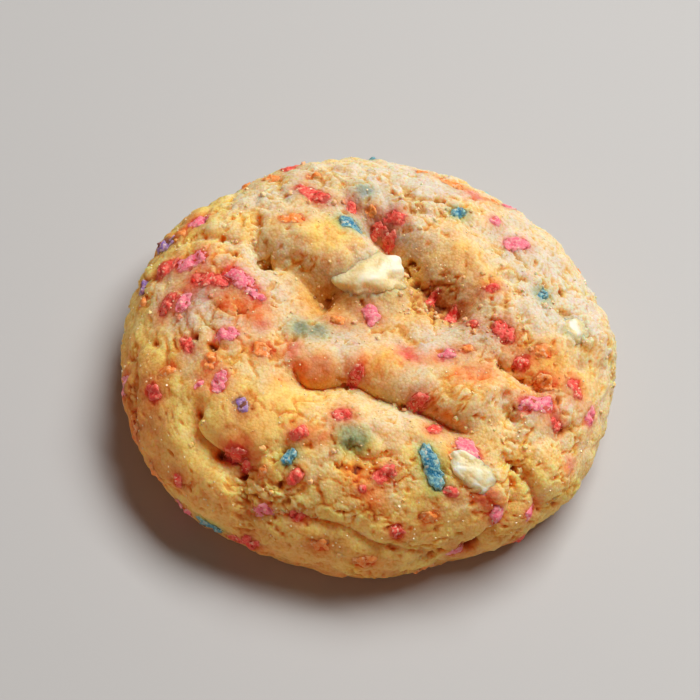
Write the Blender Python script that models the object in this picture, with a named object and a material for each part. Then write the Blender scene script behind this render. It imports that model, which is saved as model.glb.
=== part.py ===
"""A sprinkle cookie with three white chips in it, modelled at its real size.

The dough is one solid: a pressed ball of dough that slumped as it baked, with folds, a hollow
in its top and cracks round its edge, and with the sprinkles that lie in its skin joined on.
Each white chip that shows is a solid of its own, sitting in a pocket of the dough.

Places on the cookie are given on its skin, in millimetres, as (across, along): the distance
walked over the skin from the middle of the top, split into its share along X and along Y.
Lengths below are in millimetres until the meshes are made, which are in metres, +Z up.
"""

import math
import random
from typing import NamedTuple

import bmesh
import bpy
import numpy as np
from mathutils import Matrix, Vector, noise

MM = 0.001

# The whole cookie
HALF_WIDTH = 38.2
HALF_DEPTH = 35.6
CROWN_HEIGHT = 22.0
BELLY_HEIGHT = 7.0
FOOT_TUCK = 3.2
MEAN_RADIUS = 37.0
SHOULDER_POWER = 2.6
DOME_POWER = 2.1

# Where the middle of the top lies from the middle of the cookie
CROWN_ACROSS = 0.07
CROWN_ALONG = 0.27

# How finely the side profile's dome, its turn to the foot and its sole are sampled
DOME_STEPS = 400
TUCK_STEPS = 80
SOLE_STEPS = 60

# The dough's mesh
SPHERE_DIVISIONS = 7
UNDERSIDE_SHARE = 0.15
DOUGH_TRIANGLES = 8200
SOLE_CUT = 0.12
CUT_TOLERANCE = 1e-6
FOOT_MARGIN = 0.5
FOOT_FADE = 4.0
CHART_REACH = 48.0
NORMAL_STEP = 0.2
LYING_STEP = 0.6

# Lumps where bits of dough were pressed together, and the soft waves under them
LUMP_SIZE = 4.6
LUMP_HEIGHT = 0.55
LUMP_BANK = 0.45
LUMP_SINK = 0.6
LUMP_SEED = 1.0
WAVE_SIZE = 9.0
WAVE_HEIGHT = 0.35
WAVE_SEED = 2.0

# How far the drawn paths wander, over what size, and the noise's shift along X, Y and Z for each seed
BEND_SIZE = 7.0
BEND = 1.1
BEND_SEEDS = (3.1, 9.7)
SEED_SHIFT = (1.0, 1.7, -0.6)

# How a fold's banks fall, where its lip stands out from it and how far its ends run out
BANK_CURVE = 1.5
LIP_PLACE = 0.5
FOLD_END = 0.15

# Chips and sprinkles
CHIP_GAP = 0.3
CHIP_BLUNTNESS = 0.85
CHIP_SOFTNESS = 0.14
CHIP_DENTS = 1.3
CHIP_DIVISIONS = 3
SPRINKLE_GIRTH = 1.95
SPRINKLE_STOUTNESS = 0.1
SPRINKLE_PROUD = 0.45
SPRINKLE_SIDES = 5
SPRINKLE_RINGS = 3
SHORTEST_FUSED = 3.0
CLEAR_OF_CHIP = 1.0

# Sprinkles on the far side, and the line behind which they lie
SCATTER_COUNT = 190
SCATTER_SPACING = 6.0
SCATTER_SEED = 11
SCATTER_SHIFT = 1.5
SCATTER_LENGTHS = (2.4, 4.2)
BACK_LINE = 37.0
BACK_BOW = 87.0
UNDER_BELLY = 45.5


class Swell(NamedTuple):
    """A stretch of dough that stands up along a path."""

    path: tuple
    reach: float
    rise: float


class Fold(NamedTuple):
    """A valley along a path: its left bank leans over it by lip."""

    path: tuple
    left: float
    right: float
    depth: float
    lip: float


class Hollow(NamedTuple):
    """A round dip in the skin."""

    across: float
    along: float
    reach: float
    depth: float


class Chip(NamedTuple):
    """A white chip: where it sits, how it lies and how far it stands out of the dough."""

    across: float
    along: float
    heading: float
    length: float
    width: float
    height: float
    proud: float


# Places where the outline bulges or draws in: degrees round, spread in degrees, reach
OUTLINE_SWELLS = (
    (14.0, 12.0, 0.5),
    (75.0, 18.0, -0.4),
    (135.0, 12.0, -1.0),
    (150.0, 8.0, 0.6),
    (222.0, 24.0, 0.8),
    (300.0, 12.0, -1.2),
)

SWELLS = {
    "front ring": Swell(((-27, -10), (-21, -17), (-11, -21), (0, -22), (9, -23), (17, -26)), 6.5, 0.9),
    "front shelf": Swell(((-14, -28), (-4, -29), (8, -30), (18, -31)), 5.0, 0.7),
    "left lobe": Swell(((-17, -20),), 8.0, 1.2),
    "left ring": Swell(((-23, -6), (-25, 3), (-25, 12), (-17, 20)), 6.0, 1.0),
    "brow over the chip": Swell(((-15, 13), (-10, 12.5), (-5, 14)), 3.4, 1.7),
    "right fold": Swell(((3, 20), (7.5, 17.5), (12, 14.5), (15.5, 11), (18, 7)), 3.4, 1.5),
    "back lobe": Swell(((-5, 26.5), (4, 26), (11, 23)), 5.0, 1.1),
    "tongue": Swell(((-8, -6.5), (0, -7.5), (8, -9), (15, -10)), 3.4, 1.3),
    "tongue tip": Swell(((17.5, -11),), 3.0, 1.6),
    "right lobe": Swell(((22, -8), (27, -9), (32, -8)), 4.5, 0.9),
    "right shelf": Swell(((21, 3), (27, 2.5), (32, 4)), 4.0, 0.9),
    "edge lump": Swell(((35, 6),), 5.0, 1.3),
    "corner lobe": Swell(((21, -25), (24, -27)), 6.0, 1.3),
    "left wall": Swell(((-35, -14), (-31, -24), (-23, -33)), 6.0, 1.2),
    "right wall": Swell(((34, -20),), 6.0, 0.9),
    "right front lump": Swell(((28, -18), (31.5, -19.5)), 3.2, 1.3),
}

FOLDS = {
    "left bank of the hollow": Fold(
        ((-19.5, 9), (-16, 8), (-12.5, 6.5), (-9.5, 4.6), (-6, 3.6)), 5.0, 8.5, 2.6, 0.3
    ),
    "under the tongue": Fold(
        ((-11.5, -7.5), (-8.2, -12), (-2, -11.3), (2.5, -12.2), (8.5, -13.8), (14, -15.5), (19, -17.5)),
        3.6, 6.2, 3.9, 1.2,
    ),
    "right valley": Fold(
        ((-5, 20.5), (-2, 17.5), (1.4, 14.8), (5.0, 11.6), (7.8, 8.2), (11.4, 5.0), (15.5, 2.6)),
        4.4, 7.4, 3.9, 0.4,
    ),
    "under the left lobe": Fold(
        ((-24.8, -18.5), (-23, -22), (-20, -25), (-16.5, -27.2), (-13.2, -27)), 2.4, 4.0, 2.6, 1.0
    ),
    "down the left front": Fold(((-17, -27), (-16.5, -31), (-16, -36)), 2.0, 2.2, 1.5, 0.3),
    "left lobe's lip": Fold(((-20, -24.5), (-17, -25.2), (-13.5, -25.2), (-9.8, -22)), 2.2, 2.6, 1.2, 0.4),
    "pit under the right shelf": Fold(((18, -3.5), (21, -4.5), (25, -5.5), (28, -7)), 2.4, 2.6, 2.6, 0.8),
    "under the front shelf": Fold(
        ((-18, -36), (-10, -34.5), (-1, -35.5), (5, -37.3), (12, -38.3), (19, -38)), 2.8, 2.4, 1.3, 0.6
    ),
    "corner crease": Fold(((24.3, -21.5), (25.8, -26), (25, -31), (22.8, -36)), 2.6, 2.2, 2.3, 0.5),
    "tongue tip crease": Fold(((20.5, -8.5), (22, -12), (24.5, -13)), 2.0, 1.8, 1.6, 0.3),
    "edge crease": Fold(((28, 9), (30, 5), (31.5, 1), (33, -2)), 1.8, 2.0, 1.4, 0.3),
    "under the right front lump": Fold(
        ((21.5, -18.8), (24.5, -20.3), (28, -22), (31.5, -25.5)), 1.8, 2.2, 1.7, 0.4
    ),
    "back crack": Fold(((1.5, 19.8), (5, 20.8), (8.5, 20.2)), 1.6, 1.6, 1.2, 0.2),
    "back left crack": Fold(((-31, 11.5), (-26, 11), (-21, 10)), 1.6, 1.6, 1.0, 0.2),
    "back left split": Fold(((-20.5, 16.5), (-19.7, 12), (-19, 9)), 1.6, 1.6, 1.4, 0.1),
    "front ring crack": Fold(((-3, -22), (2, -24.5), (7, -23.5)), 1.6, 1.8, 1.2, 0.3),
    "left wall crack": Fold(((-36, -8), (-34.5, -14), (-35, -20)), 1.6, 1.6, 0.9, 0.2),
}

HOLLOWS = {
    "middle of the top": Hollow(-2.5, 3.0, 12.0, 2.6),
    "right of the middle": Hollow(5.0, 1.5, 7.0, 0.8),
    "beside the chip": Hollow(-7.4, 4.6, 3.2, 1.9),
    "under the chip": Hollow(-4.0, 1.5, 5.0, 1.2),
    "left pit": Hollow(-18.4, 8.6, 1.8, 1.8),
    "left crack notch": Hollow(-23.6, -18.6, 1.2, 1.6),
    "under the lobe": Hollow(-19.5, -25.0, 2.0, 1.0),
    "end of the valley": Hollow(13.0, 5.2, 3.0, 0.8),
    "right split": Hollow(19.3, 11.3, 1.3, 1.6),
    "right pit": Hollow(23.0, -3.2, 1.8, 1.2),
    "back pit": Hollow(-6.0, 20.3, 1.4, 1.4),
    "front notch": Hollow(24.0, -36.0, 1.6, 1.4),
}

CHIPS = {
    "white_chip_middle": Chip(-1.8, 9.0, 20.0, 11.0, 8.2, 6.2, 1.6),
    "white_chip_front": Chip(18.8, -23.8, -12.0, 9.6, 6.0, 4.0, 0.6),
    "white_chip_side": Chip(31.0, 5.2, 20.0, 7.4, 4.8, 3.8, 0.4),
}

# The sprinkles that show, by colour: across, along, heading in degrees, length. Those shorter than
# SHORTEST_FUSED hardly stand out of the skin: they only keep the scattered ones off their places.
SPRINKLES = {
    "red": (
        (-18.5, 32.5, 20, 3.2), (-13.1, 22.1, -32, 6.0), (-6.5, 20.6, -60, 2.6), (-1.3, 18.3, -40, 3.0),
        (0.5, 16.6, -50, 2.8), (1.0, 19.4, -17, 3.6), (-33.2, 6.2, 30, 5.0), (-25.1, 2.7, -5, 5.2),
        (-31.3, -1.0, 70, 3.6), (-26.6, -8.4, -60, 3.2), (-1.8, -9.4, 40, 3.2), (-31.3, -15.5, -60, 3.6),
        (16.4, 7.5, 40, 2.2), (8.6, 7.5, 60, 2.6), (11.7, 4.8, 60, 3.0), (19.0, 0.8, -35, 4.2),
        (14.3, 1.6, -40, 1.8), (9.0, -12.7, 5, 3.4), (31.4, -4.7, -60, 3.6), (29.3, -11.5, -30, 3.0),
        (11.8, -17.8, 45, 3.2), (15.7, -27.4, 20, 2.4), (4.9, -26.5, 35, 3.8), (-3.0, -18.3, 0, 3.2),
        (-8.9, -22.0, 20, 3.1), (-8.7, -28.6, 60, 3.0), (-17.7, -24.4, -10, 4.2), (-16.6, -27.3, 70, 2.4),
        (-27.2, -29.0, 60, 2.6), (-18.0, -41.5, 0, 6.0), (-16.9, -39.6, 60, 2.0), (-8.0, -34.8, -40, 3.0),
        (8.6, -34.8, -30, 3.0), (33.8, -32.5, 35, 3.6), (22.6, -2.7, 0, 2.6), (1.9, -29.3, 0, 1.6),
    ),
    "orange": (
        (-21.0, 28.0, 30, 3.0), (-13.6, 27.3, 10, 2.4), (-15.5, 15.4, 15, 4.2), (-32.4, 13.5, 20, 2.4),
        (-22.2, -1.4, 0, 3.0), (-18.3, -1.7, -10, 4.0), (-15.7, -8.3, 0, 3.6), (-5.6, -0.3, 0, 2.4),
        (-8.1, -9.9, 20, 5.0), (-22.7, -11.2, 85, 3.4), (-29.1, -12.3, 20, 3.0), (-37.0, 0.8, 40, 2.4),
        (9.0, 32.0, -20, 5.0), (4.5, 33.6, 0, 2.4), (16.6, 29.4, -20, 2.4), (14.1, -3.0, 20, 2.2),
        (9.7, -5.9, 0, 1.6), (25.2, -0.7, 0, 3.0), (15.0, -7.5, 10, 5.4), (26.7, -4.6, -10, 3.6),
        (13.2, -31.8, 30, 3.4), (4.5, -41.0, 5, 4.2), (4.0, -30.9, 20, 3.0), (-5.2, -22.1, 40, 2.4),
        (-36.0, -20.4, 85, 5.0), (-32.7, -28.0, -70, 4.4), (15.7, -21.7, 0, 3.0), (-13.8, -28.0, 70, 2.4),
        (-3.7, -39.4, 0, 3.2), (0.3, -27.0, 0, 2.6), (-12.6, -12.8, 0, 1.0), (-3.3, 20.3, 20, 2.0),
    ),
    "pink": (
        (-32.0, 26.0, 35, 3.6), (-29.7, 15.7, 15, 4.2), (-28.8, 6.6, 22, 5.0), (-20.6, 3.1, -34, 5.2),
        (-17.8, 0.8, -20, 2.6), (-28.5, -1.0, 80, 3.6), (-21.0, -6.7, 20, 4.0), (-16.3, -4.0, 0, 1.4),
        (-0.8, 1.9, -60, 3.8), (-21.0, -14.2, 73, 4.0), (-23.9, -14.7, 60, 1.8), (-38.2, -13.0, 80, 3.6),
        (16.9, 22.7, 60, 2.6), (20.5, 18.9, 30, 5.0), (13.5, 29.5, -25, 3.2), (20.0, 30.5, -20, 2.8),
        (11.2, -4.5, 25, 3.0), (5.1, -4.4, 0, 1.6), (6.0, -6.2, -20, 3.0), (25.6, -9.5, 15, 5.0),
        (35.4, -7.7, 80, 3.6), (17.2, -19.9, -40, 4.2), (20.5, -26.4, 20, 3.0), (24.0, -28.3, -50, 4.0),
        (29.4, -25.7, 60, 3.0), (33.3, -16.8, 60, 3.0), (21.3, -37.3, 10, 4.0), (-13.4, -33.6, 10, 3.6),
        (-30.8, -35.8, -50, 4.2), (-11.5, -7.5, 85, 3.0),
    ),
    "blue": (
        (-6.4, 16.6, -5, 3.8), (-4.8, 23.7, -15, 2.6), (10.8, 22.1, 0, 2.6), (24.6, 9.8, 60, 2.4),
        (-9.5, -3.2, 0, 5.0), (12.2, -24.6, -62, 7.6), (-0.7, -22.0, 0, 4.6), (-10.0, -25.7, 65, 2.8),
        (-24.6, -38.0, -20, 5.0),
    ),
    "violet": (
        (-35.4, 12.5, 10, 4.0), (-17.4, -17.8, -65, 3.2), (-41.0, -16.0, 80, 4.0), (-38.0, 4.5, 70, 2.6),
    ),
}

# How often each colour is drawn on the far side
COLOUR_SHARES = {"red": 6, "orange": 5, "pink": 5, "blue": 2, "violet": 1}

COLOURS = {
    "dough": (0.80, 0.60, 0.33),
    "chip": (0.87, 0.78, 0.55),
    "red": (0.78, 0.04, 0.04),
    "orange": (0.88, 0.20, 0.03),
    "pink": (0.88, 0.10, 0.20),
    "blue": (0.01, 0.27, 0.42),
    "violet": (0.16, 0.08, 0.42),
}
DOUGH_ROUGHNESS = 0.75
CHIP_ROUGHNESS = 0.4
SPRINKLE_ROUGHNESS = 0.6


def side_profile():
    """The cookie's half section as arc length, radius and height, from the crown to the sole's middle."""
    dome = np.linspace(math.pi / 2, 0.0, DOME_STEPS)
    tuck = np.linspace(0.0, math.pi / 2, TUCK_STEPS)[1:]
    radius = MEAN_RADIUS * np.cos(dome).clip(0.0) ** (2.0 / SHOULDER_POWER)
    height = BELLY_HEIGHT + (CROWN_HEIGHT - BELLY_HEIGHT) * np.sin(dome) ** (2.0 / DOME_POWER)
    radius = np.concatenate((radius, MEAN_RADIUS - FOOT_TUCK * (1.0 - np.cos(tuck))))
    height = np.concatenate((height, BELLY_HEIGHT * (1.0 - np.sin(tuck))))
    foot = len(radius) - 1
    radius = np.concatenate((radius, np.linspace(radius[-1], 0.0, SOLE_STEPS)[1:]))
    height = np.concatenate((height, np.zeros(SOLE_STEPS - 1)))
    walked = np.concatenate(([0.0], np.cumsum(np.hypot(np.diff(radius), np.diff(height)))))
    return walked, radius, height, walked[foot]


WALKED, RADIUS, HEIGHT, FOOT = side_profile()


def outline_radius(turn):
    """The radius of the cookie's outline at each angle round it."""
    radius = 1.0 / np.sqrt((np.cos(turn) / HALF_WIDTH) ** 2 + (np.sin(turn) / HALF_DEPTH) ** 2)
    for degrees, spread, reach in OUTLINE_SWELLS:
        apart = (np.degrees(turn) - degrees + 180.0) % 360.0 - 180.0
        radius = radius + reach * np.exp(-((apart / spread) ** 2))
    return radius


def smooth_skin(across, along):
    """Points on the cookie's form before its relief, at these places on the skin."""
    walked = np.hypot(across, along)
    turn = np.arctan2(along, across)
    radius = np.interp(walked, WALKED, RADIUS) * outline_radius(turn) / MEAN_RADIUS
    height = np.interp(walked, WALKED, HEIGHT)
    return np.stack((CROWN_ACROSS + radius * np.cos(turn), CROWN_ALONG + radius * np.sin(turn), height), -1)


def skin_normals(across, along):
    """Outward directions of the smooth form at these places."""
    east = smooth_skin(across + NORMAL_STEP, along) - smooth_skin(across - NORMAL_STEP, along)
    north = smooth_skin(across, along + NORMAL_STEP) - smooth_skin(across, along - NORMAL_STEP)
    normals = np.cross(east, north)
    return normals / np.linalg.norm(normals, axis=-1, keepdims=True).clip(1e-9)


def ease(share):
    """A smooth step from 0 to 1."""
    share = np.clip(share, 0.0, 1.0)
    return share * share * (3.0 - 2.0 * share)


def smooth_path(path, pieces=6):
    """A curve through the path's points, each stretch cut into this many pieces."""
    points = np.array(path, float)
    if len(points) < 3:
        return points
    ends = np.vstack((2 * points[0] - points[1], points, 2 * points[-1] - points[-2]))
    share = np.linspace(0.0, 1.0, pieces, endpoint=False)[:, None]
    curve = []
    for before, start, stop, after in zip(ends, ends[1:], ends[2:], ends[3:]):
        bend = 2 * before - 5 * start + 4 * stop - after
        twist = 3 * start - before - 3 * stop + after
        curve.append(start + 0.5 * share * (stop - before + share * (bend + share * twist)))
    return np.vstack((*curve, points[-1:]))


def from_path(across, along, path):
    """Each place's distance from a path, the side it is on (1 left, -1 right), its share along the
    path, and the direction square to the path there."""
    curve = smooth_path(path)
    distance = np.full(across.shape, np.inf)
    side = np.ones_like(across)
    share = np.full_like(across, 0.5)
    square = np.zeros((len(across), 2))
    if len(curve) == 1:
        return np.hypot(across - curve[0, 0], along - curve[0, 1]), side, share, square
    steps = np.diff(curve, axis=0)
    lengths = np.hypot(steps[:, 0], steps[:, 1])
    reached = np.concatenate(([0.0], np.cumsum(lengths)))
    for start, step, length, before in zip(curve, steps, lengths, reached):
        east = across - start[0]
        north = along - start[1]
        walked = ((east * step[0] + north * step[1]) / length**2).clip(0.0, 1.0)
        apart = np.hypot(east - walked * step[0], north - walked * step[1])
        nearer = apart < distance
        left = np.where(step[0] * north - step[1] * east >= 0.0, 1.0, -1.0)
        distance = np.where(nearer, apart, distance)
        side = np.where(nearer, left, side)
        share = np.where(nearer, (before + walked * length) / reached[-1], share)
        square[nearer] = (-step[1] / length, step[0] / length)
    return distance, side, share, square


def drawn_relief(across, along):
    """How far the skin stands up or sinks at each place, and how far it leans sideways."""
    rise = np.zeros_like(across)
    lean = np.zeros((len(across), 2))
    for swell in SWELLS.values():
        distance = from_path(across, along, swell.path)[0]
        rise += swell.rise * np.exp(-((distance / swell.reach) ** 2))
    for hollow in HOLLOWS.values():
        distance = np.hypot(across - hollow.across, along - hollow.along)
        rise -= hollow.depth * np.exp(-((distance / hollow.reach) ** 2))
    for fold in FOLDS.values():
        distance, side, share, square = from_path(across, along, fold.path)
        bank = np.where(side > 0.0, fold.left, fold.right)
        taper = ease(np.minimum(share, 1.0 - share) / FOLD_END)
        rise -= fold.depth * taper * (1.0 - distance / bank).clip(0.0) ** BANK_CURVE
        over = taper * fold.lip * np.exp(-((distance / bank / LIP_PLACE - 1.0) ** 2)) * (side > 0.0)
        lean -= square * over[:, None]
    return rise, lean


def seed_offset(seed):
    """How far this seed moves the noise, so that each pattern lies its own way."""
    return Vector(shift * seed for shift in SEED_SHIFT)


def noise_at(points, size, seed):
    """Soft noise of this size at each point, from -1 to 1."""
    offset = seed_offset(seed)
    return np.array([noise.noise(Vector(point) / size + offset) for point in points])


def lumps_at(points, size, seed):
    """0 in the seams between lumps of this size, rising to 1 on the lumps."""
    offset = seed_offset(seed)
    near = [noise.voronoi(Vector(point) / size + offset)[0] for point in points]
    return np.array([min((second - first) / LUMP_BANK, 1.0) for first, second, *_ in near])


def baked_skin(across, along):
    """Points on the cookie's real skin, with its folds, cracks and lumps."""
    smooth = smooth_skin(across, along)
    fade = ease((FOOT - FOOT_MARGIN - np.hypot(across, along)) / FOOT_FADE)
    bend_across, bend_along = (BEND * fade * noise_at(smooth, BEND_SIZE, seed) for seed in BEND_SEEDS)
    rise, lean = drawn_relief(across + bend_across, along + bend_along)
    rise += LUMP_HEIGHT * (lumps_at(smooth, LUMP_SIZE, LUMP_SEED) - LUMP_SINK)
    rise += WAVE_HEIGHT * noise_at(smooth, WAVE_SIZE, WAVE_SEED)
    lean *= fade[:, None]
    leant = smooth_skin(across + lean[:, 0], along + lean[:, 1])
    return leant + skin_normals(across, along) * (rise * fade)[:, None]


def skin_frame(across, along, heading):
    """A point on the real skin and the directions along, beside and out of it for something that lies
    there with this heading in degrees."""
    places = np.array([(across, along), (across + LYING_STEP, along), (across, along + LYING_STEP)])
    here, east, north = baked_skin(places[:, 0], places[:, 1])
    outward = Vector(skin_normals(np.array([across]), np.array([along]))[0])
    turn = math.radians(heading)
    forward = Vector(math.cos(turn) * (east - here) + math.sin(turn) * (north - here))
    forward = (forward - outward * forward.dot(outward)).normalized()
    return Vector(here), forward, outward.cross(forward), outward


def make_material(name, colour, roughness):
    """A plain material of this colour."""
    material = bpy.data.materials.new(name)
    material.use_nodes = True
    shader = material.node_tree.nodes["Principled BSDF"]
    shader.inputs["Base Color"].default_value = (*colour, 1.0)
    shader.inputs["Roughness"].default_value = roughness
    material.diffuse_color = (*colour, 1.0)
    return material


def add_object(name, mesh, collection, material):
    """An object of this mesh and material in the collection."""
    made = bpy.data.objects.new(name, mesh)
    collection.objects.link(made)
    if material is not None:
        mesh.materials.append(material)
    return made


def apply_modifier(thing, kind, **settings):
    """Adds a modifier with these settings to the object and bakes it into its mesh."""
    modifier = thing.modifiers.new(kind.title(), kind)
    for setting, value in settings.items():
        setattr(modifier, setting, value)
    bpy.context.view_layer.update()
    evaluated = thing.evaluated_get(bpy.context.evaluated_depsgraph_get())
    baked = bpy.data.meshes.new_from_object(evaluated)
    thing.modifiers.clear()
    thing.data = baked


def make_dough(collection):
    """The cookie's dough: a ball of even triangles laid over the baked skin, thinned to what the
    relief needs, with a flat sole."""
    ball = bmesh.new()
    bmesh.ops.create_icosphere(ball, subdivisions=SPHERE_DIVISIONS, radius=1.0)
    directions = np.array([vertex.co.normalized() for vertex in ball.verts])
    share = np.where(WALKED[1:] > FOOT, UNDERSIDE_SHARE, 1.0)
    rings = math.pi * (RADIUS[1:] + RADIUS[:-1]) * np.diff(WALKED) * share
    covered = np.concatenate(([0.0], np.cumsum(rings)))
    walked = np.interp((1.0 - directions[:, 2]) / 2.0 * covered[-1], covered, WALKED)
    turn = np.arctan2(directions[:, 1], directions[:, 0])
    skin = baked_skin(walked * np.cos(turn), walked * np.sin(turn)) * MM
    for vertex, point in zip(ball.verts, skin):
        vertex.co = point
    mesh = bpy.data.meshes.new("cookie")
    ball.to_mesh(mesh)
    ball.free()
    baked = make_material("baked dough", COLOURS["dough"], DOUGH_ROUGHNESS)
    dough = add_object("cookie", mesh, collection, baked)
    apply_modifier(dough, "DECIMATE", ratio=DOUGH_TRIANGLES / len(mesh.polygons))
    flatten_sole(dough.data)
    return dough


def flatten_sole(mesh):
    """Cuts the sole flat just above its lowest points and closes it with one face at z = 0."""
    shape = bmesh.new()
    shape.from_mesh(mesh)
    everything = shape.verts[:] + shape.edges[:] + shape.faces[:]
    level = Vector((0.0, 0.0, SOLE_CUT * MM))
    cut = bmesh.ops.bisect_plane(
        shape, geom=everything, dist=CUT_TOLERANCE, plane_co=level, plane_no=(0, 0, 1), clear_inner=True
    )
    rim = [item for item in cut["geom_cut"] if isinstance(item, bmesh.types.BMEdge)]
    bmesh.ops.contextual_create(shape, geom=rim)
    bmesh.ops.translate(shape, vec=-level, verts=shape.verts)
    bmesh.ops.recalc_face_normals(shape, faces=shape.faces)
    shape.to_mesh(mesh)
    shape.free()


def chip_mesh(name, chip, grown):
    """A chip's rounded, slightly melted form, grown by this much all round."""
    here, forward, beside, outward = skin_frame(chip.across, chip.along, chip.heading)
    centre = here + outward * (chip.proud - chip.height / 2.0)
    half = Vector((chip.length, chip.width, chip.height)) / 2.0
    turned = Matrix((forward, beside, outward)).transposed()
    shape = bmesh.new()
    bmesh.ops.create_icosphere(shape, subdivisions=CHIP_DIVISIONS, radius=1.0)
    for vertex in shape.verts:
        dents = noise.noise(vertex.co * CHIP_DENTS + Vector((chip.across, chip.along, 0.0)))
        soft = 1.0 + CHIP_SOFTNESS * dents
        blunt = [math.copysign(abs(reach) ** CHIP_BLUNTNESS, reach) for reach in vertex.co]
        size = [extent * soft + grown for extent in half]
        vertex.co = (centre + turned @ Vector(map(math.prod, zip(blunt, size)))) * MM
    mesh = bpy.data.meshes.new(name)
    shape.to_mesh(mesh)
    shape.free()
    return mesh


def set_in_chip(name, chip, dough, collection, cutters, material):
    """A chip in a pocket of the dough that is cut a little wider than the chip."""
    pocket = add_object(f"{name}_pocket", chip_mesh(f"{name}_pocket", chip, CHIP_GAP), cutters, None)
    pocket.hide_render = True
    pocket.display_type = "WIRE"
    apply_modifier(dough, "BOOLEAN", operation="DIFFERENCE", object=pocket, solver="EXACT")
    add_object(name, chip_mesh(name, chip, 0.0), collection, material)


def clear_of_chips(across, along, length):
    """Whether a sprinkle of this length stays off the chips' pockets."""
    return all(
        math.hypot(across - chip.across, along - chip.along) > (chip.length + length) / 2.0 + CLEAR_OF_CHIP
        for chip in CHIPS.values()
    )


def on_far_side(across, along):
    """Whether a place is round the back, or under the belly."""
    return along > BACK_LINE - across**2 / BACK_BOW or math.hypot(across, along) > UNDER_BELLY


def scattered_sprinkles(taken):
    """Sprinkles for the back: a sunflower spiral of places, each shifted a little, leaving out those
    that aren't on the far side or lie close to a sprinkle that is already there."""
    draw = random.Random(SCATTER_SEED)
    golden = math.pi * (3.0 - math.sqrt(5.0))
    placed = []
    for count in range(SCATTER_COUNT):
        walked = CHART_REACH * math.sqrt((count + 0.5) / SCATTER_COUNT)
        across = walked * math.cos(count * golden) + draw.uniform(-SCATTER_SHIFT, SCATTER_SHIFT)
        along = walked * math.sin(count * golden) + draw.uniform(-SCATTER_SHIFT, SCATTER_SHIFT)
        heading = draw.uniform(0.0, 180.0)
        length = draw.uniform(*SCATTER_LENGTHS)
        colour = draw.choices(tuple(COLOUR_SHARES), weights=COLOUR_SHARES.values())[0]
        near = min(math.hypot(across - other[0], along - other[1]) for other in taken + placed)
        inside = math.hypot(across, along) < CHART_REACH
        if on_far_side(across, along) and near > SCATTER_SPACING and inside:
            placed.append((across, along, heading, length, colour))
    return placed


def all_sprinkles():
    """Every sprinkle as across, along, heading, length and colour, the longest first."""
    shown = [(*place, colour) for colour, places in SPRINKLES.items() for place in places]
    every = shown + scattered_sprinkles(shown)
    fused = [one for one in every if one[3] >= SHORTEST_FUSED and clear_of_chips(one[0], one[1], one[3])]
    return sorted(fused, key=lambda one: -one[3])


def sprinkle_mesh(across, along, heading, length):
    """A short rod with flat sides and blunt ends, lying in the skin with its top a little proud."""
    here, forward, beside, outward = skin_frame(across, along, heading)
    girth = SPRINKLE_GIRTH + SPRINKLE_STOUTNESS * (length - SHORTEST_FUSED)
    centre = here + outward * (SPRINKLE_PROUD - girth / 2.0)
    shape = bmesh.new()
    bmesh.ops.create_uvsphere(
        shape, u_segments=SPRINKLE_SIDES, v_segments=SPRINKLE_RINGS, radius=girth / 2.0
    )
    stretch = (length - girth) / 2.0
    for vertex in shape.verts:
        reach = vertex.co.z + math.copysign(stretch, vertex.co.z)
        vertex.co = (centre + forward * reach + beside * vertex.co.x + outward * vertex.co.y) * MM
    mesh = bpy.data.meshes.new("sprinkle")
    shape.to_mesh(mesh)
    shape.free()
    return mesh


def fuse_sprinkles(dough):
    """Joins the sprinkles onto the dough in one union, so that dough and sprinkles are one solid."""
    materials = {}
    for colour in SPRINKLES:
        materials[colour] = make_material(f"{colour} sprinkle", COLOURS[colour], SPRINKLE_ROUGHNESS)
    loose = bpy.data.collections.new("loose sprinkles")
    bpy.context.scene.collection.children.link(loose)
    for across, along, heading, length, colour in all_sprinkles():
        add_object("sprinkle", sprinkle_mesh(across, along, heading, length), loose, materials[colour])
    joined = {"operation": "UNION", "operand_type": "COLLECTION", "collection": loose, "solver": "MANIFOLD"}
    apply_modifier(dough, "BOOLEAN", **joined)
    for sprinkle in list(loose.objects):
        bpy.data.objects.remove(sprinkle)
    bpy.data.collections.remove(loose)


def main():
    for old in list(bpy.data.objects):
        bpy.data.objects.remove(old)
    collection = bpy.data.collections.new("sprinkle_cookie")
    cutters = bpy.data.collections.new("cutters")
    bpy.context.scene.collection.children.link(collection)
    bpy.context.scene.collection.children.link(cutters)
    dough = make_dough(collection)
    fuse_sprinkles(dough)
    chip_white = make_material("white chip", COLOURS["chip"], CHIP_ROUGHNESS)
    for name, chip in CHIPS.items():
        set_in_chip(name, chip, dough, collection, cutters, chip_white)


main()
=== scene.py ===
"""Dresses a sprinkle cookie: crumbly baked dough, sprinkles melted into its skin and three white chips.

The dough's form is worked out here from the same named sizes as its solid, because the solid is too
coarse for crumb and pores. Places on the cookie are given on its skin, in millimetres, as (across,
along): the distance walked over the skin from the middle of the top, split into its share along X and
along Y. Sizes stay in millimetres until a mesh is made, which is in metres.
"""

import logging
import math
import random
from dataclasses import dataclass, field
from enum import Enum

import bpy
import numpy as np
from mathutils import Matrix, Vector, noise
from mathutils.bvhtree import BVHTree

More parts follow.
